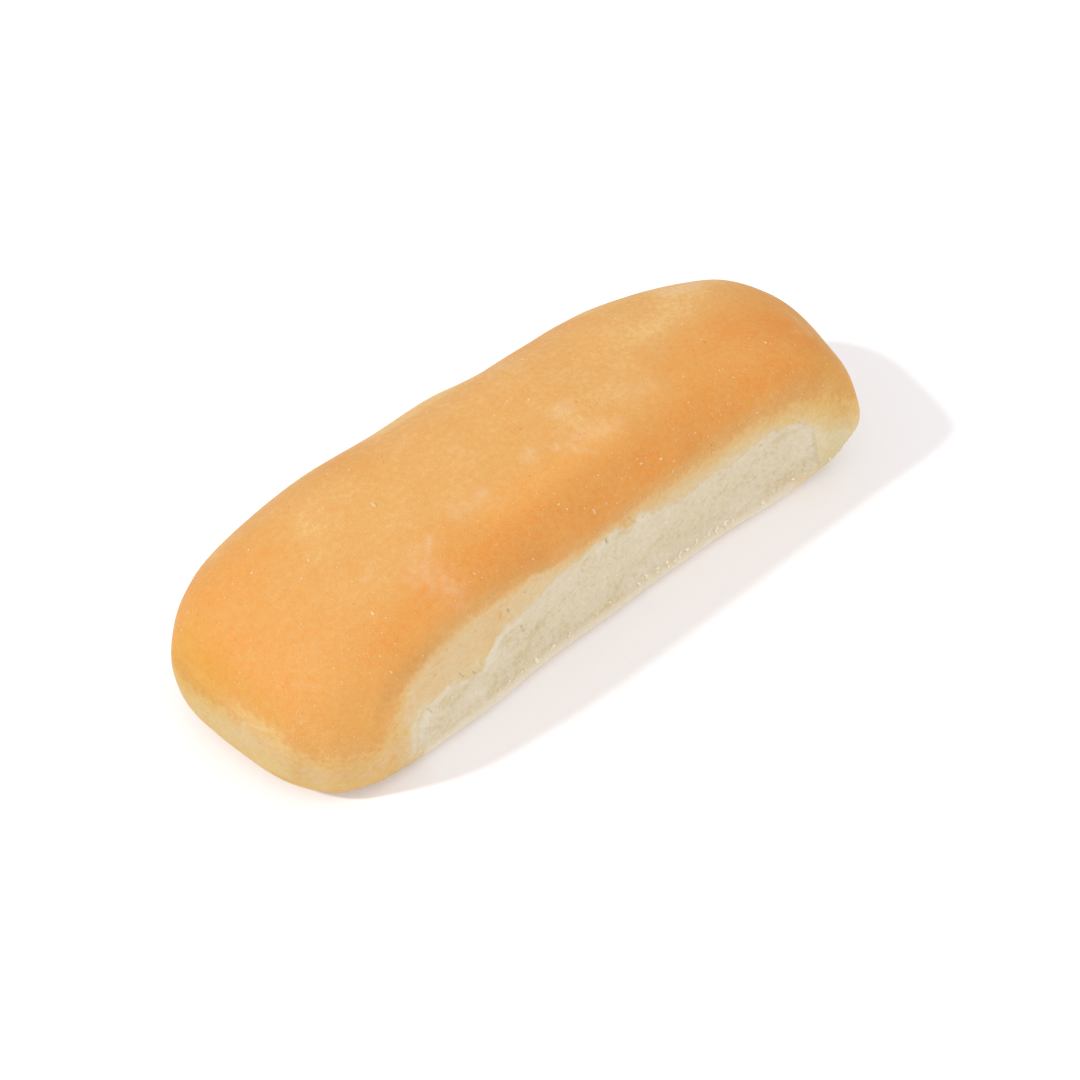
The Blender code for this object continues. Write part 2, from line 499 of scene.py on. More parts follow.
@dataclass(frozen=True)
class Baking:
    """How far each place is baked, from 0 for cream to 1 for toasted."""

    golden: float = 0.68
    base: float = 0.70
    base_height: float = 0.0009
    rim_height: float = 0.0055
    rim_full: float = 0.8
    rim_level: float = 0.022
    seen: Rise = Rise(
        least=(
            (-76, 0.34), (-70, 0.35), (-66, 0.44), (-62, 0.46), (-54, 0.46),
            (-50, 0.30), (-38, 0.33), (-30, 0.34), (-22, 0.27), (-14, 0.23),
            (2, 0.22), (6, 0.28), (22, 0.27), (38, 0.20), (54, 0.20),
            (58, 0.12), (66, 0.09), (76, 0.12),
        ),
        lines=(
            (
                (-76, 12.0), (-70, 8.5), (-58, 8.0), (-54, 14.0), (-50, 21.5),
                (-46, 25.2), (-38, 26.7), (-30, 27.0), (-18, 27.0), (-14, 25.0),
                (-6, 24.0), (2, 24.8), (10, 24.3), (14, 23.3), (38, 24.2),
                (46, 23.2), (50, 22.7), (54, 20.5), (58, 16.0), (62, 11.5),
                (76, 10.0),
            ),
            (
                (-76, 15.8), (-70, 13.8), (-66, 12.9), (-58, 11.2), (-54, 17.5),
                (-50, 24.3), (-46, 26.7), (-42, 27.7), (-34, 28.8), (-26, 29.1),
                (-18, 28.8), (-14, 27.8), (-6, 26.7), (2, 27.3), (10, 27.4),
                (14, 26.8), (30, 27.1), (38, 27.9), (46, 26.7), (50, 25.8),
                (54, 24.3), (58, 22.0), (62, 18.7), (66, 17.3), (76, 14.0),
            ),
            (
                (-76, 21.0), (-70, 18.7), (-66, 18.0), (-58, 17.4), (-54, 22.4),
                (-50, 26.1), (-46, 28.0), (-38, 30.8), (-26, 30.8), (-18, 30.0),
                (-14, 28.9), (-2, 28.2), (6, 28.4), (14, 29.2), (42, 29.8),
                (50, 29.0), (54, 28.0), (58, 26.4), (62, 26.0), (76, 19.0),
            ),
            (
                (-76, 25.0), (-62, 24.0), (-58, 25.5), (-50, 28.6), (-46, 31.0),
                (-38, 33.0), (-26, 33.0), (-14, 31.7), (-2, 30.3), (6, 30.5),
                (14, 31.8), (38, 33.0), (46, 33.8), (54, 32.5), (62, 31.0),
                (76, 24.0),
            ),
        ),
    )
    hidden: Rise = Rise(
        least=((-76, 0.34), (-66, 0.40), (-45, 0.20), (48, 0.20), (76, 0.28)),
        lines=(
            (
                (-76, 8.5), (-60, 7.0), (-45, 12.0), (-25, 16.0),
                (10, 18.0), (40, 14.0), (60, 9.0), (76, 8.0),
            ),
            (
                (-76, 14.5), (-60, 13.0), (-45, 17.0), (-25, 20.0),
                (10, 21.5), (40, 18.0), (60, 15.0), (76, 13.0),
            ),
            (
                (-76, 17.5), (-60, 16.5), (-45, 20.0), (-25, 22.5),
                (10, 23.5), (40, 21.0), (60, 18.0), (76, 17.0),
            ),
            (
                (-76, 23.5), (-60, 22.0), (-45, 24.0), (-25, 26.0),
                (10, 27.0), (40, 25.0), (60, 23.0), (76, 23.0),
            ),
        ),
    )
    seen_from: float = -0.012
    hidden_from: float = 0.008

    def level(self, points: Numbers) -> Numbers:
        """Works out how far the skin is baked.

        Args:
            points: places on the skin.

        Returns:
            0 for cream to 1 for toasted crust.
        """
        x, y, z = points.T
        golden = self.golden + smeared(TOASTED, points)
        side = smooth(self.hidden_from, self.seen_from, y)
        level = side * self.seen.level(x, z, golden) + (1 - side) * self.hidden.level(x, z, golden)
        level = level + smeared(SHADED, points)
        low = smooth(self.rim_height, self.rim_full * self.rim_height, z)
        level = level + (self.rim_level - level) * RIM.faced(points) * low
        level = level + (self.base - level) * smooth(self.base_height, 0, z)
        return np.clip(level, 0, 1)


@dataclass(frozen=True)
class Stretch:
    """A stretch of the seen flank along the roll, which fades in and out."""

    start: float = -0.049
    end: float = 0.052
    fade: float = 0.004

    def faced(self, points: Numbers) -> Numbers:
        """How far each point belongs to it.

        Args:
            points: places on the skin.

        Returns:
            Shares from 0 to 1.
        """
        x = points[:, 0]
        along = smooth(self.start, self.start + self.fade, x) * smooth(self.end + self.fade, self.end, x)
        return along * Side.FLANK.faced(points)


RIM = Stretch()
SEEN_TEAR = Tear(
    top=(
        (-48.2, 5.0), (-48.7, 9.0), (-48.3, 12.0), (-46.8, 15.2), (-44.6, 16.5),
        (-42.0, 17.5), (-39.8, 17.4), (-37.7, 16.4), (-35.2, 15.2), (-33.8, 14.6),
        (-31.9, 14.8), (-30.9, 16.2), (-30.1, 17.6), (-29.0, 18.8), (-28.2, 20.6),
        (-26.8, 20.9), (-24.6, 21.5), (-22.2, 21.6), (-20.2, 22.0), (-18.4, 22.5),
        (-15.9, 22.8), (-13.5, 23.5), (-10.0, 24.4), (-7.0, 24.1), (-2.5, 25.3),
        (3.5, 25.6), (6.0, 23.6), (8.0, 23.3), (10.0, 25.0), (12.2, 24.3),
        (13.6, 22.7), (16.5, 22.5), (20.0, 21.9), (24.0, 21.3), (30.0, 22.3),
        (36.0, 22.3), (39.0, 22.0), (43.0, 23.2), (47.0, 23.2), (49.5, 22.0),
        (51.5, 21.2), (53.5, 20.8), (55.5, 19.2), (57.2, 15.8), (58.4, 11.8),
        (59.3, 8.0), (60.0, 5.0),
    )
)
HIDDEN_TEAR = Tear(
    top=((-45, 6.0), (-38, 12.5), (-30, 16.5), (-12, 17.8), (5, 20.0), (20, 19.0), (35, 17.0), (48, 6.0))
)

LUMPS = (
    Lump(-20.0, 25.5, 31.0, 8.0, -0.35),
    Lump(-5.0, 25.0, 31.3, 6.0, 0.42),
    Lump(7.0, 24.5, 32.0, 6.0, -0.38),
    Lump(26.0, 25.5, 30.5, 4.0, 0.20),
    Lump(34.0, 25.5, 30.0, 9.0, 0.45),
    Lump(56.0, 22.0, 28.5, 6.0, -0.15),
    Lump(64.0, 18.5, 26.0, 5.0, 0.25),
    Lump(70.0, 13.5, 24.0, 4.0, -0.15),
    Lump(73.0, 4.0, 22.0, 6.0, 0.30),
    Lump(71.5, -8.0, 21.5, 5.0, -0.45),
    Lump(69.0, -18.0, 11.5, 5.0, 1.35),
    Lump(64.0, -17.5, 3.0, 5.5, 0.70),
    Lump(48.5, -17.0, 2.0, 5.0, 0.20),
    Lump(34.0, -17.0, 1.7, 7.0, -0.22),
    Lump(17.0, -17.6, 1.4, 9.0, -0.15),
    Lump(3.0, -18.3, 1.8, 6.0, 0.15),
    Lump(-15.0, -19.5, 1.5, 7.0, -0.20),
    Lump(-22.0, -20.3, 2.0, 4.0, 0.20),
    Lump(-31.0, -21.0, 1.6, 5.0, 0.30),
    Lump(-64.0, -19.5, 2.8, 4.0, 0.40),
    Lump(-74.0, 13.5, 7.0, 4.0, 0.20),
    Lump(-71.0, 20.0, 17.5, 4.0, -0.30),
    Lump(-60.0, 25.0, 23.0, 7.0, 0.35),
    Lump(40.0, 6.0, 37.0, 12.0, -0.60),
    Lump(20.0, 10.0, 39.5, 10.0, -0.40),
    Lump(52.0, -6.0, 35.0, 12.0, 0.50),
    Lump(-8.0, -4.0, 40.5, 14.0, 0.40),
    Lump(-22.0, 23.0, 30.5, 1.8, 0.28),
    Lump(-18.0, 23.0, 30.5, 1.5, 0.28),
    Lump(-16.0, 23.0, 30.5, 1.3, -0.22),
    Lump(-9.5, 23.0, 30.5, 1.5, 0.30),
)

# How much further the crust is baked than its golden level, on soft patches.
TOASTED = (
    Smear((-70, -12), (-63, 12), 14, 0.19),
    Smear((-50, -19), (56, -18), 7, 0.25),
    Smear((33, -7), (50, -5), 7, 0.13),
    Smear((52, -4), (68, 1), 9, 0.18),
    Smear((-31, 18), (-29, 11), 4, 0.07),
    Smear((-30, -6), (-34, -9), 4, 0.05),
    Smear((-46, 6), (-42, 11), 5, -0.06),
    Smear((30, 4), (52, 9), 4, -0.11),
    Smear((14, -4), (22, -4), 4, -0.05),
    Smear((48, 15), (60, 14), 4, -0.15),
    Smear((-52, -17), (-44, -14), 4, -0.10),
    Smear((6, -4), (7, -9), 3, -0.09),
    # Paler along the far edge: painted light where that edge is lit.
    Smear((-58, 20.5), (-54, 20.5), 2.6, -0.14),
    Smear((-20, 20.5), (2, 20.5), 2.6, -0.14),
    Smear((14, 20), (26, 20.5), 2.6, 0.06),
    Smear((37, 20), (42, 20), 2.6, 0.07),
    Smear((33, 20), (42, 19), 3, -0.09),
    Smear((61, -6), (65, -14), 4, 0.26),
)
# How much further the skin is baked than the lines say, on narrow marks.
SHADED = (
    # A paler line along the top of the smooth skin below the crust: painted highlight on its edge.
    Smear((-37, 28.3), (-26, 28.6), 0.5, -0.10, Side.FLANK),
    Smear((-26, 28.6), (-23, 27.7), 0.5, -0.08, Side.FLANK),
    Smear((-22, 28.0), (-18.5, 29.2), 0.5, -0.12, Side.FLANK),
    Smear((-18.5, 29.2), (-16, 27.8), 0.5, -0.10, Side.FLANK),
    Smear((-16, 27.8), (-11, 27.4), 0.5, -0.08, Side.FLANK),
    # Paler bands along the left end of the torn lip: painted highlight on the lip.
    Smear((-49.3, 6.0), (-49.0, 13.5), 1.3, -0.24, Side.FLANK),
    Smear((-48.6, 15.5), (-46.6, 17.0), 1.1, -0.14, Side.FLANK),
    Smear((-55, 7.5), (-54.5, 8.5), 0.8, 0.12, Side.FLANK),
    Smear((-47, 22.0), (-44, 23.5), 1.2, 0.07, Side.FLANK),
    Smear((-44, 25.2), (-41, 25.3), 0.5, 0.10, Side.FLANK),
    Smear((-33.5, 19), (-31, 15), 1.2, -0.10, Side.FLANK),
    Smear((-30, 19), (-28.8, 21), 0.8, 0.08, Side.FLANK),
    Smear((-27.5, 26), (-26.5, 24), 0.6, 0.10, Side.FLANK),
    Smear((5, 26.5), (6, 24.5), 0.9, 0.14, Side.FLANK),
    Smear((-17.5, 17.3), (-12, 15.5), 0.8, -0.10, Side.NEAR_END),
    Smear((-13, 18.8), (-9, 16.9), 0.45, -0.14, Side.NEAR_END),
    Smear((-9, 16.9), (-7, 16), 0.45, -0.14, Side.NEAR_END),
    Smear((-7, 16), (-6, 13.8), 0.45, -0.12, Side.NEAR_END),
    Smear((-17, 15), (-8, 13), 3, -0.05, Side.NEAR_END),
    Smear((-6, 12), (7, 10.5), 2.6, -0.06, Side.NEAR_END),
    Smear((-22, 5.6), (-12, 5.8), 0.7, 0.16, Side.NEAR_END),
    Smear((-15, 19.2), (-5, 18.6), 1.8, -0.13, Side.NEAR_END),
    Smear((2, 15.5), (12, 15.0), 2.2, 0.08, Side.NEAR_END),
    Smear((-18.2, 13), (-18, 7), 1.2, 0.11, Side.NEAR_END),
    Smear((9, 13), (9, 10), 2.0, 0.07, Side.NEAR_END),
    Smear((-38, 18), (-34, 17), 1.6, -0.06, Side.FLANK),
    Smear((46, 23.6), (50.5, 23.2), 0.9, 0.12, Side.FLANK),
    # A darker line along a small crease near the far end: painted shade in the crease.
    Smear((57.0, 19.2), (59.0, 19.4), 0.35, 0.10, Side.FLANK),
    Smear((59.0, 19.4), (60.2, 18.4), 0.35, 0.12, Side.FLANK),
)
# How far the skin's colour turns to its yellower one.
YELLOWED = (
    Smear((4, 19), (18, 18), 4.0, 0.65, Side.NEAR_END),
    Smear((12, 13), (18, 13), 3.0, 0.45, Side.NEAR_END),
    Smear((-24, 6), (-4, 5), 3.5, 0.36, Side.NEAR_END),
    Smear((-16, 10), (-8, 9), 2.0, 0.30, Side.NEAR_END),
    Smear((-24, 13), (-23, 19), 2.5, 0.35, Side.NEAR_END),
    Smear((-12, 22), (4, 22), 3.0, 0.30, Side.NEAR_END),
    Smear((-66, 6), (-56, 4), 2.5, 0.55, Side.FLANK),
    Smear((-66, 14), (-62, 12), 3.0, 0.30, Side.FLANK),
    Smear((-59, 22), (-57, 14), 3.0, 0.25, Side.FLANK),
    Smear((26, 26), (50, 26), 2.0, 0.20, Side.FLANK),
    Smear((-53, 14.5), (-50.5, 13), 1.5, 0.50, Side.FLANK),
    Smear((-33, 17.5), (-30.5, 19.5), 0.9, 0.40, Side.FLANK),
    Smear((3, 24.8), (8, 24.0), 1.1, 0.50, Side.FLANK),
    Smear((48, 23.6), (52, 22.5), 1.3, 0.45, Side.FLANK),
    Smear((55, 23.5), (59, 20), 3.0, 0.35, Side.FLANK),
    Smear((-74, 2), (-72, 12), 4.0, 0.40),
    Smear((64, -19), (66, 4), 8.0, 0.25),
    Smear((-72, -14), (-70, 10), 5.0, 0.20),
    Smear((36, 19), (44, 17), 3.5, 0.40),
    Smear((60, -4), (66, -15), 5.0, 0.50),
    Smear((-66, 18), (-56, 22), 5.0, 0.15, Side.FLANK),
)
# Painted light and shade: how much darker the skin's colour is painted, or lighter where it is below 0.
PAINTED_LIGHT_AND_SHADE = (
    Smear((-22, 11), (20, 11), 8.0, 0.105, Side.NEAR_END),
    Smear((-14, 19), (6, 19), 3.0, -0.02, Side.NEAR_END),
    Smear((-4, 18.3), (5, 18.3), 2.5, -0.05, Side.NEAR_END),
    Smear((-46, 2.2), (60, 2.2), 1.8, -0.15, Side.FLANK),
    Smear((-74, -14), (-74, 12), 4.0, 0.04),
    Smear((-64, 20), (56, 20), 6.0, 0.045),
    Smear((-60, 16), (-52, 25), 4.0, -0.05, Side.FLANK),
    Smear((-12, 31.5), (20, 31.5), 3.2, -0.09, Side.FLANK),
    Smear((-44, 31), (-20, 31), 3.0, -0.04, Side.FLANK),
    Smear((28, 31), (46, 31), 3.0, -0.05, Side.FLANK),
    Smear((-20, -13), (10, -12.5), 3.0, -0.06),
    Smear((-44, 1.6), (10, 1.6), 1.3, -0.20, Side.FLANK),
    Smear((14, 1.6), (56, 1.6), 1.3, -0.30, Side.FLANK),
    Smear((-66, 17), (-56, 21), 4.5, -0.06, Side.FLANK),
)
# How much paler the torn crumb is, or darker where it is below 0.
CRUMB_TONES = (
    Smear((-30.2, 13.5), (-28.6, 17.5), 1.1, 0.42, Side.FLANK),
    Smear((-43.5, 16.2), (-38.5, 16.2), 0.8, 0.34, Side.FLANK),
    Smear((-41.5, 13.6), (-38.5, 13.6), 1.4, -0.30, Side.FLANK),
    Smear((-47.0, 10.0), (-45.6, 13.6), 1.0, 0.34, Side.FLANK),
    Smear((-34.5, 10.0), (-32.0, 8.0), 1.6, 0.28, Side.FLANK),
    Smear((-27.0, 19.8), (-22.0, 19.6), 0.9, 0.34, Side.FLANK),
    Smear((-17.0, 19.5), (-10.0, 19.8), 1.6, 0.22, Side.FLANK),
    Smear((-1.0, 23.0), (1.6, 23.2), 1.0, 0.30, Side.FLANK),
    Smear((12.0, 16.0), (20.0, 18.0), 2.5, 0.16, Side.FLANK),
    Smear((48.5, 20.2), (53.0, 19.8), 1.5, -0.40, Side.FLANK),
    Smear((54.5, 10.0), (55.5, 15.0), 1.3, 0.22, Side.FLANK),
    Smear((-38.6, 11.6), (-35.6, 12.6), 1.0, -0.34, Side.FLANK),
    Smear((-22.5, 8.6), (-20.0, 9.6), 1.5, -0.34, Side.FLANK),
    Smear((-18.6, 13.0), (-16.0, 14.0), 1.3, -0.34, Side.FLANK),
    Smear((-24.0, 5.2), (-21.0, 5.4), 1.0, -0.30, Side.FLANK),
    Smear((-29.0, 5.6), (-26.0, 5.8), 1.0, -0.26, Side.FLANK),
    Smear((4.5, 23.6), (7.5, 22.6), 1.0, -0.34, Side.FLANK),
    Smear((22.0, 9.0), (32.0, 8.0), 2.2, -0.24, Side.FLANK),
    Smear((46.0, 7.5), (56.0, 7.5), 2.0, -0.25, Side.FLANK),
    Smear((-14.0, 6.0), (6.0, 5.6), 1.4, -0.16, Side.FLANK),
    Smear((8.0, 7.0), (44.0, 7.0), 2.2, 0.26, Side.FLANK),
    Smear((-24.0, 18.0), (-10.0, 17.0), 3.0, -0.20, Side.FLANK),
    Smear((24.0, 20.0), (46.0, 20.0), 2.0, -0.14, Side.FLANK),
    Smear((-5.2, 22.6), (-3.4, 23.4), 0.9, -0.50, Side.FLANK),
)
# How far the crust turns to a paler pinkish colour, in soft patches; the thin lines among them are painted
# highlights along wrinkles.
PALE_PATCHES_AND_HIGHLIGHTS = (
    Smear((-38, -14), (-35, -20), 3.0, 0.48),
    Smear((-35, -10.5), (-32, -11), 1.2, 0.35),
    Smear((-19, -9.5), (-18, -8.5), 1.3, 0.40),
    Smear((-25, -9), (-22, -10), 2.0, 0.25),
    Smear((-6.5, -8), (-5, -7.5), 1.3, 0.42),
    Smear((5.5, -3), (7.5, -3), 1.7, 0.60),
    Smear((5, -10), (12, -11.5), 1.8, 0.45),
    Smear((0, -9), (3, -10.5), 1.0, 0.30),
    Smear((50, 13.5), (57, 14), 2.2, 0.55),
    # A pale line inside the far end's outline: painted highlight on a crease.
    Smear((68.5, -1), (66.5, -9), 0.8, 0.45),
    Smear((62, -9), (64, -8), 1.0, 0.35),
    Smear((-66.5, -13.5), (-64, -17), 0.6, 0.28),
    Smear((-46, -9), (-43, -7.5), 0.8, 0.40),
    Smear((-8, 16), (-7, 13), 1.0, 0.30),
    Smear((9, 12), (10, 14), 1.2, 0.25),
    Smear((8, 17.5), (11, 18), 2.0, 0.35),
    Smear((36, 19.5), (39, 18.5), 2.0, 0.35),
    Smear((-72.2, 12.2), (-70.5, 14.2), 1.1, 0.85),
    Smear((19, -7), (24, -8), 2.0, 0.25),
    # Thin pale lines along wrinkles: painted highlights on their ridges.
    Smear((-1.3, -9), (2, -11.7), 0.5, 0.40),
    Smear((2, -11.7), (5.4, -14), 0.5, 0.35),
    Smear((-14.8, 2.8), (-13.4, -0.5), 0.5, 0.35),
    Smear((-31.8, -10.3), (-34.2, -12.6), 0.5, 0.40),
)

# Each pore darkens the skin's colour towards the pore colour, which is painted shade in its hole; the skin
# is also sunk a little there.
PORES = (
    Pore(-53.3, 17.0, 0.5, 60, 0.22, 0.35),
    Pore(-51.8, 16.1, 0.3, 90, 0.17, 0.31),
    Pore(-49.6, 21.6, 0.9, 20, 0.26, 0.20),
    Pore(-45.3, 14.4, 2.2, 122, 0.17, 0.43),
    Pore(-43.7, 22.8, 0.3, 0, 0.20, 0.39),
    Pore(-42.7, 24.9, 0.6, 0, 0.20, 0.39),
    Pore(-41.9, 20.4, 0.8, 110, 0.15, 0.23),
    Pore(-40.3, 26.5, 0.4, 90, 0.17, 0.35),
    Pore(-37.3, 17.7, 2.2, 118, 0.17, 0.51),
    Pore(-36.8, 11.2, 0.8, 120, 0.26, 0.31),
    Pore(-34.0, 15.6, 1.9, 119, 0.20, 0.62),
    Pore(-33.3, 26.2, 0.5, 110, 0.18, 0.39),
    Pore(-31.9, 16.2, 2.6, 118, 0.22, 0.23),
    Pore(-26.9, 25.5, 1.3, 75, 0.20, 0.39),
    Pore(-26.5, 27.5, 0.4, 0, 0.18, 0.31),
    Pore(-25.0, 25.3, 0.9, 115, 0.22, 0.70),
    Pore(-21.9, 9.6, 0.4, 0, 0.20, 0.39),
    Pore(-21.5, 8.0, 0.3, 0, 0.17, 0.39),
    Pore(-21.3, 17.9, 0.9, 115, 0.21, 0.55),
    Pore(-20.8, 16.3, 0.8, 120, 0.24, 0.51),
    Pore(-20.6, 26.7, 0.5, 120, 0.20, 0.43),
    Pore(-19.8, 14.6, 0.4, 90, 0.18, 0.31),
    Pore(-19.1, 25.3, 0.4, 0, 0.18, 0.31),
    Pore(-17.0, 13.9, 1.2, 120, 0.38, 0.27),
    Pore(-5.3, 20.8, 1.6, 105, 0.20, 0.39),
    Pore(-2.1, 14.3, 0.9, 5, 0.15, 0.43),
    Pore(1.1, 24.1, 1.7, 110, 0.26, 0.74),
    Pore(3.8, 19.6, 0.9, 0, 0.15, 0.35),
    Pore(5.5, 25.4, 1.8, 118, 0.45, 0.22),
    Pore(7.4, 25.4, 3.4, 122, 0.17, 0.47),
    Pore(8.6, 24.1, 0.7, 120, 0.18, 0.47),
    Pore(9.6, 8.3, 0.9, 0, 0.17, 0.43),
    Pore(11.1, 23.7, 0.7, 10, 0.20, 0.39),
    Pore(15.5, 13.9, 0.9, 0, 0.15, 0.35),
    Pore(18.0, 21.0, 0.6, 90, 0.18, 0.23),
    Pore(27.5, 16.1, 0.9, 0, 0.17, 0.47),
    Pore(42.6, 21.4, 0.9, 0, 0.17, 0.39),
    Pore(46.8, 22.5, 2.2, 125, 0.15, 0.23),
    Pore(52.5, 9.7, 1.0, 0, 0.18, 0.43),
    Pore(52.9, 21.3, 1.4, 125, 0.18, 0.51),
    Pore(53.8, 20.2, 1.2, 120, 0.15, 0.31),
    Pore(68.3, 9.9, 0.9, 60, 0.26, 0.55),
    Pore(67.5, 8.5, 0.7, 60, 0.22, 0.45),
    Pore(66.5, 6.9, 0.5, 30, 0.22, 0.35),
    Pore(-18.0, 15.4, 0.4, 60, 0.17, 0.31, Side.NEAR_END),
    Pore(-16.5, 15.2, 0.3, 90, 0.17, 0.35, Side.NEAR_END),
    Pore(-17.0, 14.2, 0.4, 30, 0.18, 0.27, Side.NEAR_END),
    Pore(-11.5, 15.0, 0.3, 0, 0.18, 0.27, Side.NEAR_END),
    Pore(-10.5, 13.5, 0.5, 40, 0.18, 0.39, Side.NEAR_END),
    Pore(-9.0, 16.7, 0.3, 90, 0.17, 0.31, Side.NEAR_END),
    Pore(-8.5, 12.8, 0.4, 0, 0.18, 0.35, Side.NEAR_END),
    Pore(-5.5, 12.8, 0.4, 60, 0.18, 0.35, Side.NEAR_END),
)

# x, y, radius in millimetres, and tone from 1 for the palest to -1 for the darkest.
CROWN_BLISTERS = (
    (-34.5, 2.6, 0.95, 0.55),
    (-58.3, 8.5, 0.45, 1.0),
    (-61.7, 10.0, 0.32, 0.9),
    (-64.2, 9.2, 0.32, 0.7),
    (-55.4, 13.2, 0.45, 0.8),
    (-62.3, 13.6, 0.24, 0.6),
    (-69.0, 14.6, 0.34, 0.8),
    (-71.5, 13.4, 0.34, 0.9),
    (-63.0, 15.6, 0.28, 0.6),
    (-61.8, 17.0, 0.28, 0.7),
    (-64.0, 17.3, 0.28, 0.6),
    (-67.7, 6.4, 0.28, 0.6),
    (-71.2, 7.4, 0.24, 0.5),
    (-59.0, 6.6, 0.22, 0.6),
    (-63.2, 3.2, 0.30, 0.5),
    (-66.5, 3.4, 0.20, 0.5),
    (-53.4, 0.0, 0.38, 0.9),
    (-50.2, 2.0, 0.48, 0.9),
    (-44.6, -0.2, 0.36, 0.7),
    (-46.7, 3.3, 0.24, 0.5),
    (-58.3, -4.7, 0.24, 0.7),
    (-47.8, -3.2, 0.30, 0.6),
    (-44.0, -5.2, 0.32, 0.6),
    (-47.9, -7.7, 0.34, 0.7),
    (-59.0, -7.0, 0.45, 0.35),
    (-49.2, -15.0, 0.50, 1.0),
    (-47.9, -17.1, 0.32, 0.7),
    (-69.1, -1.2, 0.28, 0.5),
    (-71.9, -4.3, 0.28, 0.5),
    (-44.8, 13.9, 0.36, 0.4),
    (-37.2, 13.4, 0.32, 0.6),
    (-34.3, 16.5, 0.36, 0.7),
    (-31.5, 13.5, 0.40, 0.9),
    (-32.2, 11.0, 0.28, 0.8),
    (-17.7, 13.1, 0.25, 0.6),
    (-22.6, 5.8, 0.22, 0.5),
    (-19.0, 2.4, 0.26, 0.6),
    (-14.7, 2.4, 0.32, 0.5),
    (-3.3, 2.3, 0.34, 0.7),
    (-3.2, 3.4, 0.18, 0.6),
    (0.4, 5.7, 0.42, 0.8),
    (3.5, 3.1, 0.48, 0.9),
    (-28.2, -2.9, 0.28, 0.7),
    (-11.0, -7.8, 0.28, 0.5),
    (-16.4, -11.8, 0.32, 0.6),
    (-11.3, -12.6, 0.28, 0.7),
    (-4.2, -12.4, 0.40, 0.6),
    (-32.4, -13.8, 0.22, 0.6),
    (-31.2, -13.4, 0.24, 0.7),
    (-7.3, -16.2, 0.26, 0.8),
    (-7.6, -17.9, 0.36, 1.0),
    (-6.5, -19.0, 0.38, 0.9),
    (-29.6, -20.0, 0.36, 0.9),
    (12.0, 14.6, 0.50, 0.7),
    (9.9, 10.4, 0.42, 0.5),
    (18.2, 7.2, 0.34, 0.8),
    (22.1, 6.3, 0.30, 0.6),
    (22.7, 4.9, 0.34, 0.7),
    (16.0, 4.2, 0.26, 0.7),
    (14.7, 4.1, 0.20, 0.5),
    (23.4, 17.6, 0.38, 0.7),
    (27.3, 18.4, 0.42, 0.7),
    (33.8, 12.2, 0.38, 0.9),
    (32.0, 11.1, 0.38, 0.9),
    (34.0, 9.2, 0.28, 0.5),
    (36.6, 11.0, 0.30, 0.7),
    (38.5, 10.0, 0.30, 0.5),
    (6.1, -2.2, 0.22, 0.9),
    (5.5, -3.1, 0.22, 0.7),
    (6.7, -7.2, 0.32, 0.9),
    (31.4, -9.5, 0.38, 1.0),
    (35.3, 0.4, 0.26, 0.7),
    (18.5, -11.1, 0.30, 0.5),
    (40.4, -14.2, 0.26, 0.8),
    (41.8, -14.5, 0.22, 0.6),
    (39.7, 7.9, 0.45, 0.4),
    (46.8, 12.2, 0.40, 0.7),
    (48.3, 14.2, 0.45, 0.6),
    (53.7, 12.6, 0.48, 0.6),
    (55.5, 9.0, 0.45, 0.5),
    (57.5, 7.1, 0.36, 0.5),
    (51.5, 4.3, 0.34, 0.7),
    (42.2, -3.1, 0.40, 0.7),
    (43.3, -7.9, 0.30, 0.6),
    (52.6, -10.2, 0.50, 1.0),
    (50.5, -7.8, 0.36, 0.5),
    (63.4, -8.1, 0.45, 0.6),
    (63.0, -2.2, 0.36, 0.5),
    (59.6, -3.1, 0.30, 0.5),
    (60.5, 2.8, 0.28, 0.6),
    (49.9, -16.3, 0.26, 0.6),
    (36.7, -17.2, 0.26, 0.6),
    (-25.2, 11.6, 0.28, -0.8),
    (-26.2, 9.9, 0.26, -0.7),
    (-2.9, -1.8, 0.34, -0.8),
    (-8.9, -11.3, 0.24, -0.7),
    (-68.7, 11.8, 0.24, -0.7),
    (-64.9, 0.0, 0.22, -0.6),
    (-50.5, -11.3, 0.24, -0.6),
    (9.8, -3.1, 0.34, -0.8),
    (5.0, -9.5, 0.24, -0.6),
    (2.0, -5.8, 0.24, -0.5),
    (12.7, -5.6, 0.20, -0.6),
    (38.4, -4.6, 0.32, -0.9),
    (40.4, -2.3, 0.28, -0.8),
    (39.2, -1.6, 0.26, -0.6),
    (42.1, -4.1, 0.42, -0.5),
    (50.6, 1.0, 0.28, -0.9),
    (47.3, 0.6, 0.24, -0.7),
    (48.0, -14.7, 0.24, -0.9),
    (30.3, -6.5, 0.24, -0.5),
    (12.5, 8.2, 0.22, -0.5),
)
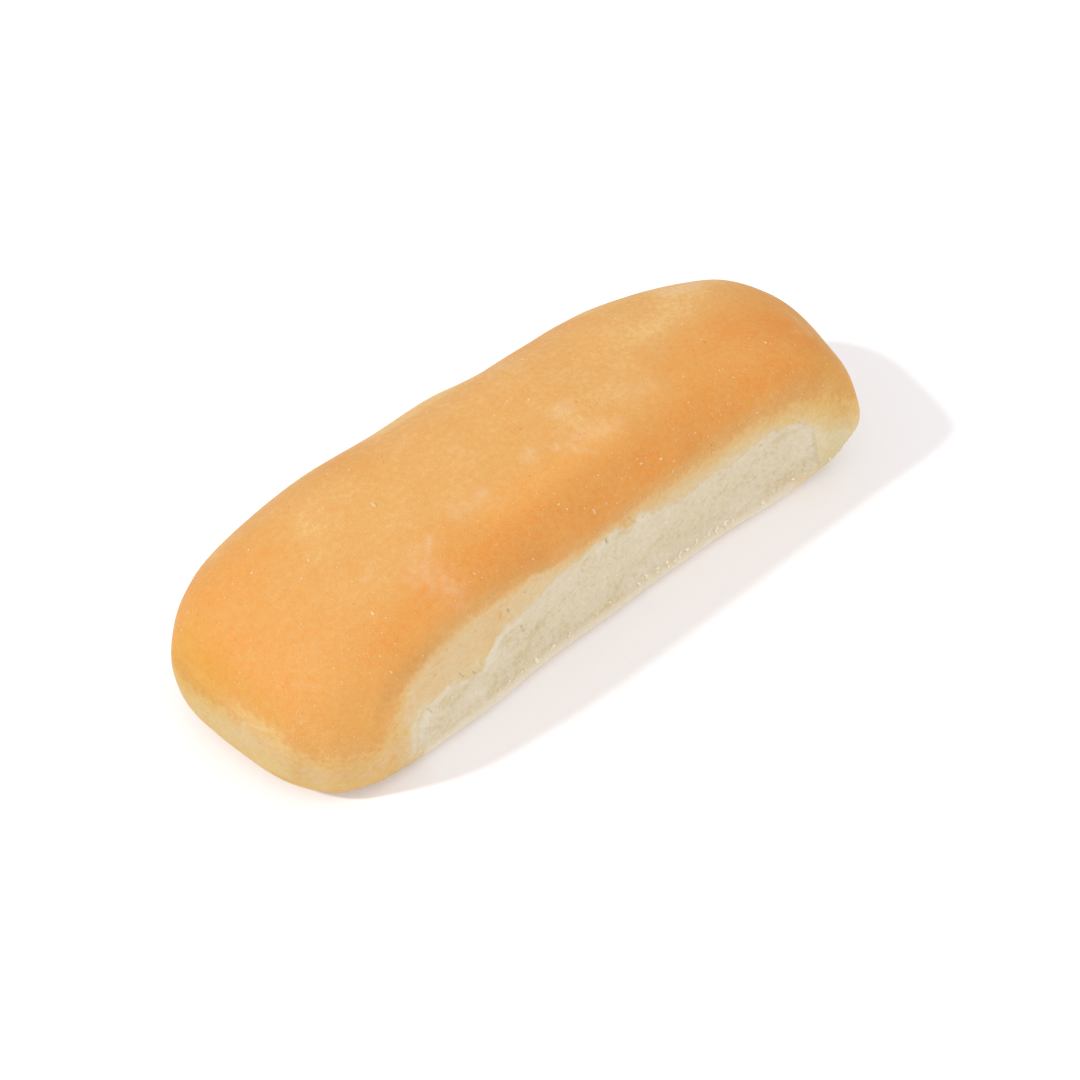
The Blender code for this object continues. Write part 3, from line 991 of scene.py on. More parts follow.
# x, z, radius in millimetres, and tone as above.
FLANK_BLISTERS = (
    (-52.3, 28.5, 0.45, 1.0),
    (-17.4, 32.2, 0.42, 0.8),
    (-3.0, 34.2, 0.28, 0.9),
    (-1.2, 32.7, 0.75, 0.7),
    (1.6, 30.7, 0.36, 1.0),
    (2.0, 32.6, 0.45, 0.5),
    (4.3, 31.5, 0.34, 0.9),
    (6.1, 31.4, 0.24, 0.8),
    (7.2, 34.5, 0.28, 0.9),
    (9.0, 33.8, 0.28, 0.8),
    (8.9, 31.9, 0.34, 0.5),
    (12.5, 34.6, 0.55, 0.7),
    (17.0, 33.4, 0.50, 1.0),
    (18.8, 30.1, 0.42, 1.0),
    (19.6, 31.7, 0.40, 0.9),
    (21.0, 29.7, 0.36, 1.0),
    (21.7, 34.5, 0.30, 0.7),
    (26.5, 33.6, 0.38, 0.8),
    (29.0, 31.8, 0.28, 0.9),
    (29.2, 28.3, 0.55, 0.6),
    (33.0, 29.3, 0.30, 0.9),
    (33.7, 34.2, 0.24, 0.6),
    (36.6, 34.2, 0.28, 0.7),
    (36.8, 30.1, 0.26, 0.7),
    (40.2, 36.6, 0.30, 0.8),
    (41.8, 30.2, 0.30, 0.9),
    (53.5, 28.1, 0.30, 0.8),
    (52.6, 29.5, 0.26, 0.6),
    (55.6, 25.7, 0.30, 0.8),
    (59.5, 26.5, 0.34, 1.0),
    (15.1, 26.7, 0.34, 0.6),
    (12.6, 27.5, 0.24, 0.7),
    (13.8, 30.9, 0.26, -0.8),
    (23.5, 30.9, 0.26, -0.9),
    (21.7, 29.3, 0.22, -0.8),
    (29.2, 29.9, 0.30, -1.0),
    (45.5, 30.5, 0.26, -0.9),
    (-11.2, 32.1, 0.26, -0.5),
)
# x, z and length in millimetres.
RIM_CRUMBS = (
    (-17.0, 5.0, 0.7),
    (-12.5, 4.9, 0.5),
    (-8.3, 4.9, 0.4),
    (10.5, 5.2, 0.5),
    (13.0, 5.2, 0.6),
    (15.8, 5.3, 0.7),
    (18.6, 5.2, 0.6),
    (20.3, 4.9, 0.5),
    (21.9, 5.3, 0.6),
    (23.8, 5.0, 0.5),
    (26.4, 5.2, 0.8),
    (29.8, 5.0, 0.6),
    (31.9, 5.2, 0.7),
    (34.4, 4.8, 0.9),
    (36.2, 4.6, 0.5),
    (44.5, 4.5, 0.8),
    (63.2, 4.0, 0.5),
    (64.8, 5.0, 0.5),
    (66.9, 7.6, 0.5),
)


class Kind(Enum):
    """What runs through a socket, by the names that Blender gives it."""

    VALUE = "VALUE"
    COLOUR = "RGBA"
    VECTOR = "VECTOR"


class Socket:
    """One output of a shader node, with the sums that are written on it."""

    def __init__(self, shader: "Shader", end: bpy.types.NodeSocket) -> None:
        """Keeps the shader that the socket belongs to and the socket itself."""
        self.shader = shader
        self.end = end

    @property
    def kind(self) -> Kind:
        """What runs through the socket."""
        return Kind(self.end.type)

    def __add__(self, other: "Term") -> "Socket":
        """This and the other term."""
        return self.shader.sum("ADD", self, other)

    def __radd__(self, other: "Term") -> "Socket":
        """The other term and this."""
        return self.shader.sum("ADD", other, self)

    def __sub__(self, other: "Term") -> "Socket":
        """This less the other term."""
        return self.shader.sum("SUBTRACT", self, other)

    def __rsub__(self, other: "Term") -> "Socket":
        """The other term less this."""
        return self.shader.sum("SUBTRACT", other, self)

    def __mul__(self, other: "Term") -> "Socket":
        """This times the other term."""
        return self.shader.sum("MULTIPLY", self, other)

    def __rmul__(self, other: "Term") -> "Socket":
        """The other term times this."""
        return self.shader.sum("MULTIPLY", other, self)

    def ease(self, start: float, end: float) -> "Socket":
        """Eases from 0 at start to 1 at end.

        Args:
            start: where the result is 0.
            end: where the result is 1, above start.

        Returns:
            The eased value.
        """
        settings = {"interpolation_type": "SMOOTHSTEP"}
        return self.shader.node(
            "ShaderNodeMapRange", settings, {"Value": self, "From Min": start, "From Max": end}
        )


Term = Socket | float | tuple


class Shader:
    """One material and the nodes that are added to it."""

    def __init__(self, name: str) -> None:
        """Makes the material.

        Args:
            name: the material's name.
        """
        self.material = bpy.data.materials.new(name)
        self.material.use_nodes = True
        self.nodes = self.material.node_tree.nodes
        self.surface = self.nodes["Principled BSDF"]

    def feed(self, entry: bpy.types.NodeSocket, value: Term) -> None:
        """Links a socket to an input, or sets the input.

        Args:
            entry: the input.
            value: the socket, number, colour or vector for it.
        """
        if isinstance(value, Socket):
            self.material.node_tree.links.new(value.end, entry)
        elif isinstance(value, tuple) and entry.type == Kind.COLOUR.value:
            entry.default_value = (*value[:3], 1.0)
        else:
            entry.default_value = value

    def node(
        self,
        kind: str,
        settings: dict[str, object] | None = None,
        sockets: dict[str | int, Term] | None = None,
        out: str | int = 0,
    ) -> Socket:
        """Adds any node.

        Args:
            kind: the node's type.
            settings: its settings, which are set first; "stops" are a ramp's (place, colour) pairs.
            sockets: the values or links of its inputs, by name or number.
            out: the output that is wanted.

        Returns:
            That output.
        """
        made = self.nodes.new(kind)
        for name, value in (settings or {}).items():
            if name == "stops":
                self.set_stops(made.color_ramp, value)
            else:
                setattr(made, name, value)
        for name, value in (sockets or {}).items():
            self.feed(made.inputs[name], value)
        return Socket(self, made.outputs[out])

    def set_stops(self, ramp: bpy.types.ColorRamp, stops: tuple) -> None:
        """Sets a ramp's stops.

        Args:
            ramp: the ramp.
            stops: (place, colour) pairs.
        """
        while len(ramp.elements) < len(stops):
            ramp.elements.new(1.0)
        for element, (place, colour) in zip(ramp.elements, stops):
            element.position = place
            element.color = (*colour, 1.0)

    @staticmethod
    def is_value(term: Term) -> bool:
        """Whether a term is a value and neither a colour nor a vector."""
        return not isinstance(term, tuple) and getattr(term, "kind", Kind.VALUE) is Kind.VALUE

    def sum(self, operation: str, a: Term, b: Term) -> Socket:
        """Adds the node for one sum.

        Args:
            operation: the sum, by the name that the nodes give it.
            a: the first term.
            b: the second term.

        Returns:
            The result, a value if both terms are, and otherwise a vector.
        """
        plain = [self.is_value(term) for term in (a, b)]
        if all(plain):
            return self.node("ShaderNodeMath", {"operation": operation}, {0: a, 1: b})
        if operation == "MULTIPLY" and any(plain):
            vector, scale = (b, a) if plain[0] else (a, b)
            return self.node("ShaderNodeVectorMath", {"operation": "SCALE"}, {0: vector, "Scale": scale})
        return self.node("ShaderNodeVectorMath", {"operation": operation}, {0: a, 1: b})

    def mix(self, share: Term, a: Term, b: Term) -> Socket:
        """Mixes two colours.

        Args:
            share: how much of b there is.
            a: the colour where share is 0.
            b: the colour where share is 1.

        Returns:
            The mixed colour.
        """
        settings = {"data_type": "RGBA"}
        return self.node("ShaderNodeMix", settings, {0: share, 6: a, 7: b}, out=2)

    def mark(self, name: str) -> Socket:
        """A mark that the mesh carries on its points."""
        settings = {"attribute_type": "GEOMETRY", "attribute_name": name}
        return self.node("ShaderNodeAttribute", settings, out="Fac")

    def place(self) -> Socket:
        """The place on the object, in metres."""
        return self.node("ShaderNodeTexCoord", out="Object")

    def clouds(self, size: float, detail: float = 2.0, shift: Point = (0.0, 0.0, 0.0)) -> Socket:
        """Soft noise round 0.

        Args:
            size: the size of its patches, in metres.
            detail: how many finer layers it has.
            shift: moves the pattern, in metres.

        Returns:
            Values from about -0.5 to 0.5.
        """
        sockets = {"Vector": self.place() + shift, "Scale": 1 / size, "Detail": detail}
        return self.node("ShaderNodeTexNoise", None, sockets) - 0.5

    def bump(self, height: Term, distance: float, strength: float = 1.0) -> Socket:
        """Relief that is too fine for the mesh.

        Args:
            height: the relief's height, from 0 to 1.
            distance: how high 1 is, in metres.
            strength: how much of the relief shows.

        Returns:
            The changed normal.
        """
        sockets = {"Height": height, "Distance": distance, "Strength": strength}
        return self.node("ShaderNodeBump", None, sockets)

    def finish(self, **sockets: Term) -> bpy.types.Material:
        """Feeds the surface.

        Args:
            sockets: the surface's inputs, named with _ for each space.

        Returns:
            The finished material.
        """
        for name, value in sockets.items():
            self.feed(self.surface.inputs[name.replace("_", " ")], value)
        return self.material


def tint(red: int, green: int, blue: int, light: float = 1.0) -> Point:
    """A colour as it looks on screen, for a surface that light reaches at the given strength.

    Args:
        red: from 0 to 255.
        green: from 0 to 255.
        blue: from 0 to 255.
        light: how bright a white surface is there.

    Returns:
        The surface's own colour, in linear light.
    """
    seen = (np.array((red, green, blue)) / 255.0 + 0.055) / 1.055
    return tuple(float(value) for value in seen**2.4 / light)


@dataclass(frozen=True)
class Cloud:
    """A layer of soft noise in a finish: its patch size in metres, its strength and its finer layers."""

    size: float
    amount: float = 1.0
    detail: float = 2.0
    shift: Point = (0.0, 0.0, 0.0)

    def over(self, shader: Shader) -> Socket:
        """The layer's values, round 0."""
        return self.amount * shader.clouds(self.size, self.detail, self.shift)


def layered(shader: Shader, clouds: tuple[Cloud, ...]) -> Socket:
    """The sum of some layers of soft noise, round 0."""
    first, *others = (cloud.over(shader) for cloud in clouds)
    return sum(others, first)


@dataclass(frozen=True)
class CrustTints:
    """The crust's colours by how far it is baked, as they look in the studio's light."""

    light: float = 1.33
    stops: tuple = (
        (0.00, (238, 227, 203)),
        (0.18, (235, 211, 165)),
        (0.26, (235, 207, 157)),
        (0.34, (236, 203, 151)),
        (0.42, (235, 197, 139)),
        (0.52, (236, 190, 122)),
        (0.64, (230, 174, 103)),
        (0.78, (229, 166, 90)),
        (0.93, (231, 158, 77)),
        (1.00, (232, 151, 69)),
    )

    def colour(self, shader: Shader, baked: Socket) -> Socket:
        """The colour for a socket that says how far the crust is baked."""
        stops = tuple((place, tint(*seen, self.light)) for place, seen in self.stops)
        return shader.node("ShaderNodeValToRGB", {"stops": stops}, {"Fac": baked}, out="Color")


@dataclass(frozen=True)
class Baked:
    """The finish of the whole skin: crust, the smooth pale skin below it and torn crumb."""

    tints: CrustTints = CrustTints()
    pale_patch_and_highlight: Tint = (240, 199, 158)
    fresh: Tint = (240, 229, 203)
    crumb: Tint = (235, 220, 189)
    # The darker crumb colour, which also carries the painted shade in the crumb's dimples.
    hollow: Tint = (225, 206, 165)
    # The colour that pores are darkened to: painted shade in the holes.
    pore: Tint = (192, 156, 104)
    roughness: float = 0.62
    gloss: float = 0.22
    yellowing: Point = (1.0, 0.98, 0.60)
    mottling: tuple[Cloud, ...] = (Cloud(0.007, 0.20), Cloud(0.0012, 0.36, 3.0), Cloud(0.00030, 0.22))
    mottled_bake: Spot = (-0.1, 0.22)
    # Noise that breaks up the pale patches and painted highlights.
    flour: Cloud = Cloud(0.0016, 1.0, 4.0)
    pale_patch_edge: Spot = (0.15, 0.85)
    crumb_mottling: Cloud = Cloud(0.00072, 1.3, 3.0)
    even_crumb: float = 0.5
    pore_mottling: Cloud = Cloud(0.00048, 1.4)
    pore_cover: float = 0.9
    graining: tuple[Cloud, ...] = (
        Cloud(0.00030, 0.24, 2.0, (0.31, 0.17, 0.05)),
        Cloud(0.0012, 0.08, 2.0, (0.31, 0.17, 0.05)),
    )
    roughening: Cloud = Cloud(0.0012, 0.12)
    relief: tuple[Cloud, ...] = (Cloud(0.00030, 0.5, 3.0), Cloud(0.0016))
    relief_height: float = 0.00012
    relief_strength: float = 0.6

    def seen(self, colour: Tint) -> Point:
        """A colour as the studio's light shows it."""
        return tint(*colour, self.tints.light)

    def material(self, name: str) -> bpy.types.Material:
        """Makes the skin's material.

        Args:
            name: the material's name.

        Returns:
            The material.
        """
        shader = Shader(name)
        bake = shader.mark("bake")
        mottle = layered(shader, self.mottling)
        colour = self.tints.colour(shader, bake + bake.ease(*self.mottled_bake) * mottle)
        # Paler pinkish patches, and thin lines of painted highlight along wrinkles.
        pale_patch_share = shader.mark("pale_patch_and_highlight") * (self.flour.over(shader) + 0.5).ease(*self.pale_patch_edge)
        colour = shader.mix(pale_patch_share, colour, self.seen(self.pale_patch_and_highlight))
        colour = shader.mix(shader.mark("yellow"), colour, colour * self.yellowing)
        tone = shader.mark("tone") + self.crumb_mottling.over(shader)
        paler = tone.ease(0.0, self.even_crumb)
        palest = tone.ease(self.even_crumb, 1.0)
        crumb = shader.mix(paler, self.seen(self.hollow), self.seen(self.crumb))
        crumb = shader.mix(palest, crumb, self.seen(self.fresh))
        colour = shader.mix(shader.mark("crumb"), colour, crumb)
        # Pores: painted shade in the holes.
        pore = shader.mark("pore") * (self.pore_cover + self.pore_mottling.over(shader))
        colour = shader.mix(pore, colour, self.seen(self.pore))
        # Grain varies the colour at random; the painted light and shade mark then darkens or lightens it.
        colour = colour * (1 + layered(shader, self.graining) - shader.mark("painted_light_and_shade"))
        fine = layered(shader, self.relief) + 0.5
        return shader.finish(
            Base_Color=colour,
            Roughness=self.roughness + self.roughening.over(shader),
            Normal=shader.bump(fine, self.relief_height, self.relief_strength),
            Specular_IOR_Level=self.gloss,
        )


@dataclass(frozen=True)
class Beaded:
    """The finish of the crust's blisters: dry and pale on top, or browned."""

    tints: CrustTints = CrustTints()
    dry: Tint = (248, 214, 168)
    browned: Tint = (182, 108, 42)
    roughness: float = 0.5
    gloss: float = 0.25
    relief: Cloud = Cloud(0.0003)
    relief_height: float = 0.00003

    def material(self, name: str) -> bpy.types.Material:
        """Makes the blisters' material.

        Args:
            name: the material's name.

        Returns:
            The material.
        """
        shader = Shader(name)
        colour = self.tints.colour(shader, shader.mark("bake"))
        colour = shader.mix(shader.mark("dry"), colour, tint(*self.dry, self.tints.light))
        colour = shader.mix(shader.mark("browned"), colour, tint(*self.browned, self.tints.light))
        return shader.finish(
            Base_Color=colour,
            Roughness=self.roughness,
            Normal=shader.bump(self.relief.over(shader) + 0.5, self.relief_height),
            Specular_IOR_Level=self.gloss,
        )


@dataclass(frozen=True)
class Crumbly:
    """The finish of loose crumbs and flakes: dry, cream and uneven."""

    light: float = 1.15
    pale: Tint = (252, 244, 222)
    warm: Tint = (236, 218, 178)
    roughness: float = 0.8
    gloss: float = 0.15
    patches: Cloud = Cloud(0.0006)
    patch_edge: Spot = (0.35, 0.65)
    relief: Cloud = Cloud(0.0002)
    relief_height: float = 0.00004

    def material(self, name: str) -> bpy.types.Material:
        """Makes the crumbs' material.

        Args:
            name: the material's name.

        Returns:
            The material.
        """
        shader = Shader(name)
        patch = (self.patches.over(shader) + 0.5).ease(*self.patch_edge)
        colour = shader.mix(patch, tint(*self.warm, self.light), tint(*self.pale, self.light))
        return shader.finish(
            Base_Color=colour,
            Roughness=self.roughness,
            Normal=shader.bump(self.relief.over(shader) + 0.5, self.relief_height),
            Specular_IOR_Level=self.gloss,
        )


def placed(name: str, mesh: bpy.types.Mesh, marks: dict[str, Numbers]) -> bpy.types.Object:
    """Puts a mesh into the scene as a smooth object.

    Args:
        name: the object's name.
        mesh: the mesh.
        marks: what its points carry for the shader, by name.

    Returns:
        The object.
    """
    for mark, values in marks.items():
        mesh.attributes.new(mark, "FLOAT", "POINT").data.foreach_set("value", values)
    mesh.shade_smooth()
    piece = bpy.data.objects.new(name, mesh)
    bpy.context.scene.collection.objects.link(piece)
    return piece


@dataclass
class Skin:
    """The roll's skin as one closed mesh, from the sliced block to its marks."""

    caster: Caster
    baking: Baking
    slices: tuple[int, int, int] = (176, 60, 44)
    flank_cuts: int = 2
    hidden_cuts: int = 1
    pore_cuts: int = 1
    flank_margin: float = 0.0020
    near_margin: float = 0.0080
    flank_from: float = -0.015
    flank_least_top: float = 0.018
    hidden_from: float = 0.015
    pore_margin: float = 0.0007
    dough_wave: float = 0.00022
    dough_wave_length: float = 0.017
    pucker: float = 0.00004
    pucker_length: float = 0.0040
    crumb_wave: float = 0.00020
    crumb_wave_length: float = 0.0055
    fine_wave_length: float = 0.0014
    fine_wander: float = 1.5
    lip_height: float = 0.00013
    lip_reach: float = 0.0016
    rim_bulge: float = 0.00025
    rim_full: float = 0.6
    level_foot: float = 0.0023
    dimple_pitch: Spot = (0.0015, 0.0019)
    dimple_slant: float = -0.35
    dimple_scatter: float = 0.55
    dimple_reach: float = 0.55
    dimple_lattice: tuple[int, int] = (97, 89)
    dimple_seed: int = 23
    dimple_depth: float = 0.00008
    # How much darker the crumb's colour is painted in its dimples: painted shade.
    dimple_painted_shade: float = 0.20
    tone: float = 0.51
    fresh_tone: float = 0.16
    coarse_tone: float = 0.22
    fine_tone: float = 0.26
    pore_depth: float = 0.00022
    fresh_reach: float = 0.0022
    pale_patch_foot: Spot = (0.024, 0.030)
    shift: Numbers = field(default_factory=lambda: np.zeros(3))

    def block(self) -> bmesh.types.BMesh:
        """Makes a closed block from -1 to 1 on each axis, its six sides cut into quads.

        Returns:
            The block.
        """
        bm = bmesh.new()
        for axis in range(3):
            across, up = (axis + 1) % 3, (axis + 2) % 3
            for side in (1, -1):
                matrix = Matrix.Identity(4)
                for column, row, sign in ((0, across, 1), (1, up, side), (2, axis, side)):
                    matrix.col[column].xyz = sign * Matrix.Identity(3).col[row]
                matrix.translation = side * Matrix.Identity(3).col[axis]
                bmesh.ops.create_grid(
                    bm, x_segments=self.slices[across], y_segments=self.slices[up], size=1.0, matrix=matrix
                )
        bmesh.ops.remove_doubles(bm, verts=bm.verts, dist=1e-5)
        return bm

    def on_seen_flank(self, points: Numbers) -> Numbers:
        """Finds the seen flank, up to where the crust is golden.

        Args:
            points: places on the skin.

        Returns:
            Whether each point lies there.
        """
        x, y, z = points.T
        top = along_line(self.baking.seen.lines[1], x) + self.flank_margin
        low, high = SEEN_TEAR.top[0][0], SEEN_TEAR.top[-1][0]
        along = (x > MM * low - self.near_margin) & (x < MM * high + self.flank_margin)
        upright = (z > SEEN_TEAR.foot - self.flank_margin) & (z < np.maximum(top, self.flank_least_top))
        return along & upright & (y < self.flank_from)

    def on_hidden_tear(self, points: Numbers) -> Numbers:
        """Whether each point lies on the hidden flank's torn crumb."""
        x, y, z = points.T
        return (y > self.hidden_from) & (HIDDEN_TEAR.inside(x, z, np.ones(len(x)), self.flank_margin) > 0)

    def by_a_pore(self, points: Numbers) -> Numbers:
        """Whether each point lies close to a pore."""
        grown = [replace(pore, width=self.pore_margin / MM, dark=1.0) for pore in PORES]
        return np.max([pore.strength(points) for pore in grown], axis=0) > math.exp(-1)

    def cut_finer(self, bm: bmesh.types.BMesh) -> None:
        """Cuts the faces finer where the flanks are torn, and once more at the pores.

        Args:
            bm: the block, which is changed.
        """
        for chosen, cuts in (
            (self.on_seen_flank, self.flank_cuts),
            (self.on_hidden_tear, self.hidden_cuts),
            (self.by_a_pore, self.pore_cuts),
        ):
            middles = np.array([face.calc_center_median() for face in bm.faces])
            centres = self.shift + self.caster.cast(middles)
            faces = [face for face, fine in zip(bm.faces, chosen(centres)) if fine]
            edges = list({edge for face in faces for edge in face.edges})
            bmesh.ops.subdivide_edges(bm, edges=edges, cuts=cuts, use_grid_fill=True)

    def dimples(self, x: Numbers, z: Numbers) -> Numbers:
        """The crumb's small hollows, on a staggered lattice whose places are scattered.

        Args:
            x: places along the roll.
            z: heights.

        Returns:
            1 in the middle of a hollow, 0 between hollows.
        """
        wide, tall = self.dimple_pitch
        columns, rows = self.dimple_lattice
        spread = self.dimple_scatter
        row = z / tall
        column = (x - self.dimple_slant * z) / wide
        scatter = np.random.default_rng(self.dimple_seed).uniform(-spread, spread, (2, columns, rows))
        nearest = np.full(len(x), np.inf)
        for up in (-1, 0, 1):
            level = np.floor(row).astype(int) + up
            for side in (-1, 0, 1):
                start = 0.5 * (level % 2)
                place = np.floor(column - start).astype(int) + side
                shift = scatter[:, place % columns, level % rows]
                away = np.hypot(column - start - place - 0.5 - shift[0], row - level - 0.5 - shift[1])
                nearest = np.minimum(nearest, away)
        return smooth(self.dimple_reach, 0.0, nearest)

    def shape(self, points: Numbers) -> tuple[Numbers, dict[str, Numbers]]:
        """Works out the relief and the marks.

        Args:
            points: places on the smooth dough.

        Returns:
            How far each point is raised, in metres, and its marks by name.
        """
        _, seen, hidden = self.caster.dough.form(*points.T)
        here = points + self.shift
        x, y, z = here.T
        crumb_wave = waves(points, self.crumb_wave_length, seed=11)
        fine_wave = waves(points, self.fine_wave_length, seed=17)
        crust = 1 - np.maximum(seen, hidden)
        raised = self.dough_wave * waves(points, self.dough_wave_length, seed=3) * crust
        raised += self.pucker * waves(points, self.pucker_length, seed=5)
        raised += sum(lump.raised(points) for lump in LUMPS)
        dimples = self.dimples(x, z)
        crumb = np.zeros(len(points))
        fresh = np.zeros(len(points))
        for tear, share in ((SEEN_TEAR, seen), (HIDDEN_TEAR, hidden)):
            depth = tear.inside(x, z, share, tear.wander * (crumb_wave + self.fine_wander * fine_wave))
            torn = smooth(-tear.step, tear.step, depth)
            raised += torn * (self.crumb_wave * crumb_wave - tear.depth - self.dimple_depth * dimples)
            raised += self.lip_height * share * np.exp(-(((depth + self.lip_reach) / self.lip_reach) ** 2))
            raised += self.rim_bulge * share * smooth(tear.foot, self.rim_full * tear.foot, z)
            crumb = np.maximum(crumb, torn)
            fresh = np.maximum(fresh, torn * np.exp(-((tear.edge(x, z) / self.fresh_reach) ** 2)))
        pore = np.max([pore.strength(here) for pore in PORES], axis=0)
        raised -= self.pore_depth * pore
        tone = self.tone + self.fresh_tone * fresh
        tone = tone + self.coarse_tone * crumb_wave + self.fine_tone * fine_wave
        # The dimples are painted darker: painted shade in the hollows.
        tone = tone - self.dimple_painted_shade * dimples + smeared(CRUMB_TONES, here)
        marks = {
            "bake": self.baking.level(here),
            "pale_patch_and_highlight": np.clip(smeared(PALE_PATCHES_AND_HIGHLIGHTS, here), 0, 1) * smooth(*self.pale_patch_foot, z),
            "crumb": crumb,
            "tone": np.clip(tone, 0, 1),
            "pore": pore,
            "yellow": np.clip(smeared(YELLOWED, here), 0, 1),
            # Painted light and shade on the skin's colour.
            "painted_light_and_shade": smeared(PAINTED_LIGHT_AND_SHADE, here),
        }
        return raised * smooth(0, self.level_foot, z), marks

    def build(self, name: str) -> bpy.types.Object:
        """Makes the mesh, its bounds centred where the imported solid's are.

        Args:
            name: the object's name.

        Returns:
            The object.
        """
        bm = self.block()
        points = self.caster.cast(np.array([vert.co for vert in bm.verts]))
        raised, _ = self.shape(points)
        points = points + self.caster.dough.outward(points) * raised[:, None]
        low, high = (np.array(corner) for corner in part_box(NODE))
        self.shift[:2] = ((low + high) / 2 - (points.min(axis=0) + points.max(axis=0)) / 2)[:2]
        log.info("the solid is centred %s mm from the dough", np.round(self.shift / MM, 3))
        self.cut_finer(bm)
        points = self.caster.cast(np.array([vert.co for vert in bm.verts]))
        raised, marks = self.shape(points)
        points = points + self.shift + self.caster.dough.outward(points) * raised[:, None]
        points[:, 2] = np.maximum(points[:, 2], low[2])
        for vert, point in zip(bm.verts, points):
            vert.co = point
        mesh = bpy.data.meshes.new(name)
        bm.to_mesh(mesh)
        bm.free()
        return placed(name, mesh, marks)


@dataclass
class Bead:
    """A template of one small closed lump, on the skin at its origin and raised along Z."""

    uneven: float
    cuts: int = 2
    wave: float = 0.9
    patterns: float = 90.0

    def template(self, random: np.random.Generator) -> tuple[Numbers, Numbers]:
        """Makes a ball of radius 1.

        Args:
            random: the source of its unevenness.

        Returns:
            Its points and its triangles.
        """
        bm = bmesh.new()
        bmesh.ops.create_icosphere(bm, subdivisions=self.cuts, radius=1.0)
        points = np.array([vert.co for vert in bm.verts])
        faces = np.array([[vert.index for vert in face.verts] for face in bm.faces])
        bm.free()
        lumps = waves(points, self.wave, random.uniform(0, self.patterns))
        return points * (1 + self.uneven * lumps[:, None]), faces


class Sowing:
    """Many small lumps on the skin, gathered into one mesh.

    Rays start far_off metres away, and a fading mark is whole from the height whole_from of a lump.
    """

    far_off: float = 0.1
    whole_from: float = 0.7

    def __init__(self, skin: bpy.types.Object, seed: int) -> None:
        """Keeps a tree of the skin's faces and a seeded source of chance.

        Args:
            skin: what the lumps lie on.
            seed: the seed.
        """
        self.tree = BVHTree.FromObject(skin, bpy.context.evaluated_depsgraph_get())
        self.random = np.random.default_rng(seed)
        self.points: list[Numbers] = []
        self.faces: list[Numbers] = []
        self.marks: dict[str, list[Numbers]] = {}
        self.count = 0

    def hit(self, start: Point, way: Point) -> tuple[Vector, Vector]:
        """The place and the normal where a ray meets the skin."""
        place, normal, _, _ = self.tree.ray_cast(Vector(start), Vector(way))
        return place, normal

    def from_above(self, x: float, y: float) -> tuple[Vector, Vector]:
        """The place and the normal on the crown at x and y, in millimetres."""
        return self.hit((x * MM, y * MM, self.far_off), (0, 0, -1))

    def from_the_side(self, x: float, z: float) -> tuple[Vector, Vector]:
        """The place and the normal on the seen flank at x and z, in millimetres."""
        return self.hit((x * MM, -self.far_off, z * MM), (0, 1, 0))

    def add(self, bead: Bead, place: Vector, normal: Vector, size: Point, **marks: float) -> None:
        """Adds one lump.

        Args:
            bead: its template.
            place: its middle, on the skin.
            normal: which way is out.
            size: its half sizes, in metres, along a chance direction, across it and outward.
            marks: its marks, which fade to 0 at the skin if their name is in FADING.
        """
        points, faces = bead.template(self.random)
        out = normal.normalized()
        along = out.orthogonal().normalized()
        along.rotate(Matrix.Rotation(self.random.uniform(0, math.tau), 3, out))
        axes = np.array((along, out.cross(along), out))
        self.points.append(np.array(place) + (points * np.array(size)) @ axes)
        self.faces.append(faces + self.count)
        self.count += len(points)
        high = smooth(0.0, self.whole_from, points[:, 2])
        for mark, value in marks.items():
            values = value * high if mark in FADING else np.full(len(points), value)
            self.marks.setdefault(mark, []).append(values)

    def gather(self, name: str) -> bpy.types.Object:
        """Makes one object of all the lumps.

        Args:
            name: the object's name.

        Returns:
            The object.
        """
        mesh = bpy.data.meshes.new(name)
        mesh.from_pydata(np.concatenate(self.points), [], np.concatenate(self.faces))
        marks = {mark: np.concatenate(values) for mark, values in self.marks.items()}
        return placed(name, mesh, marks)


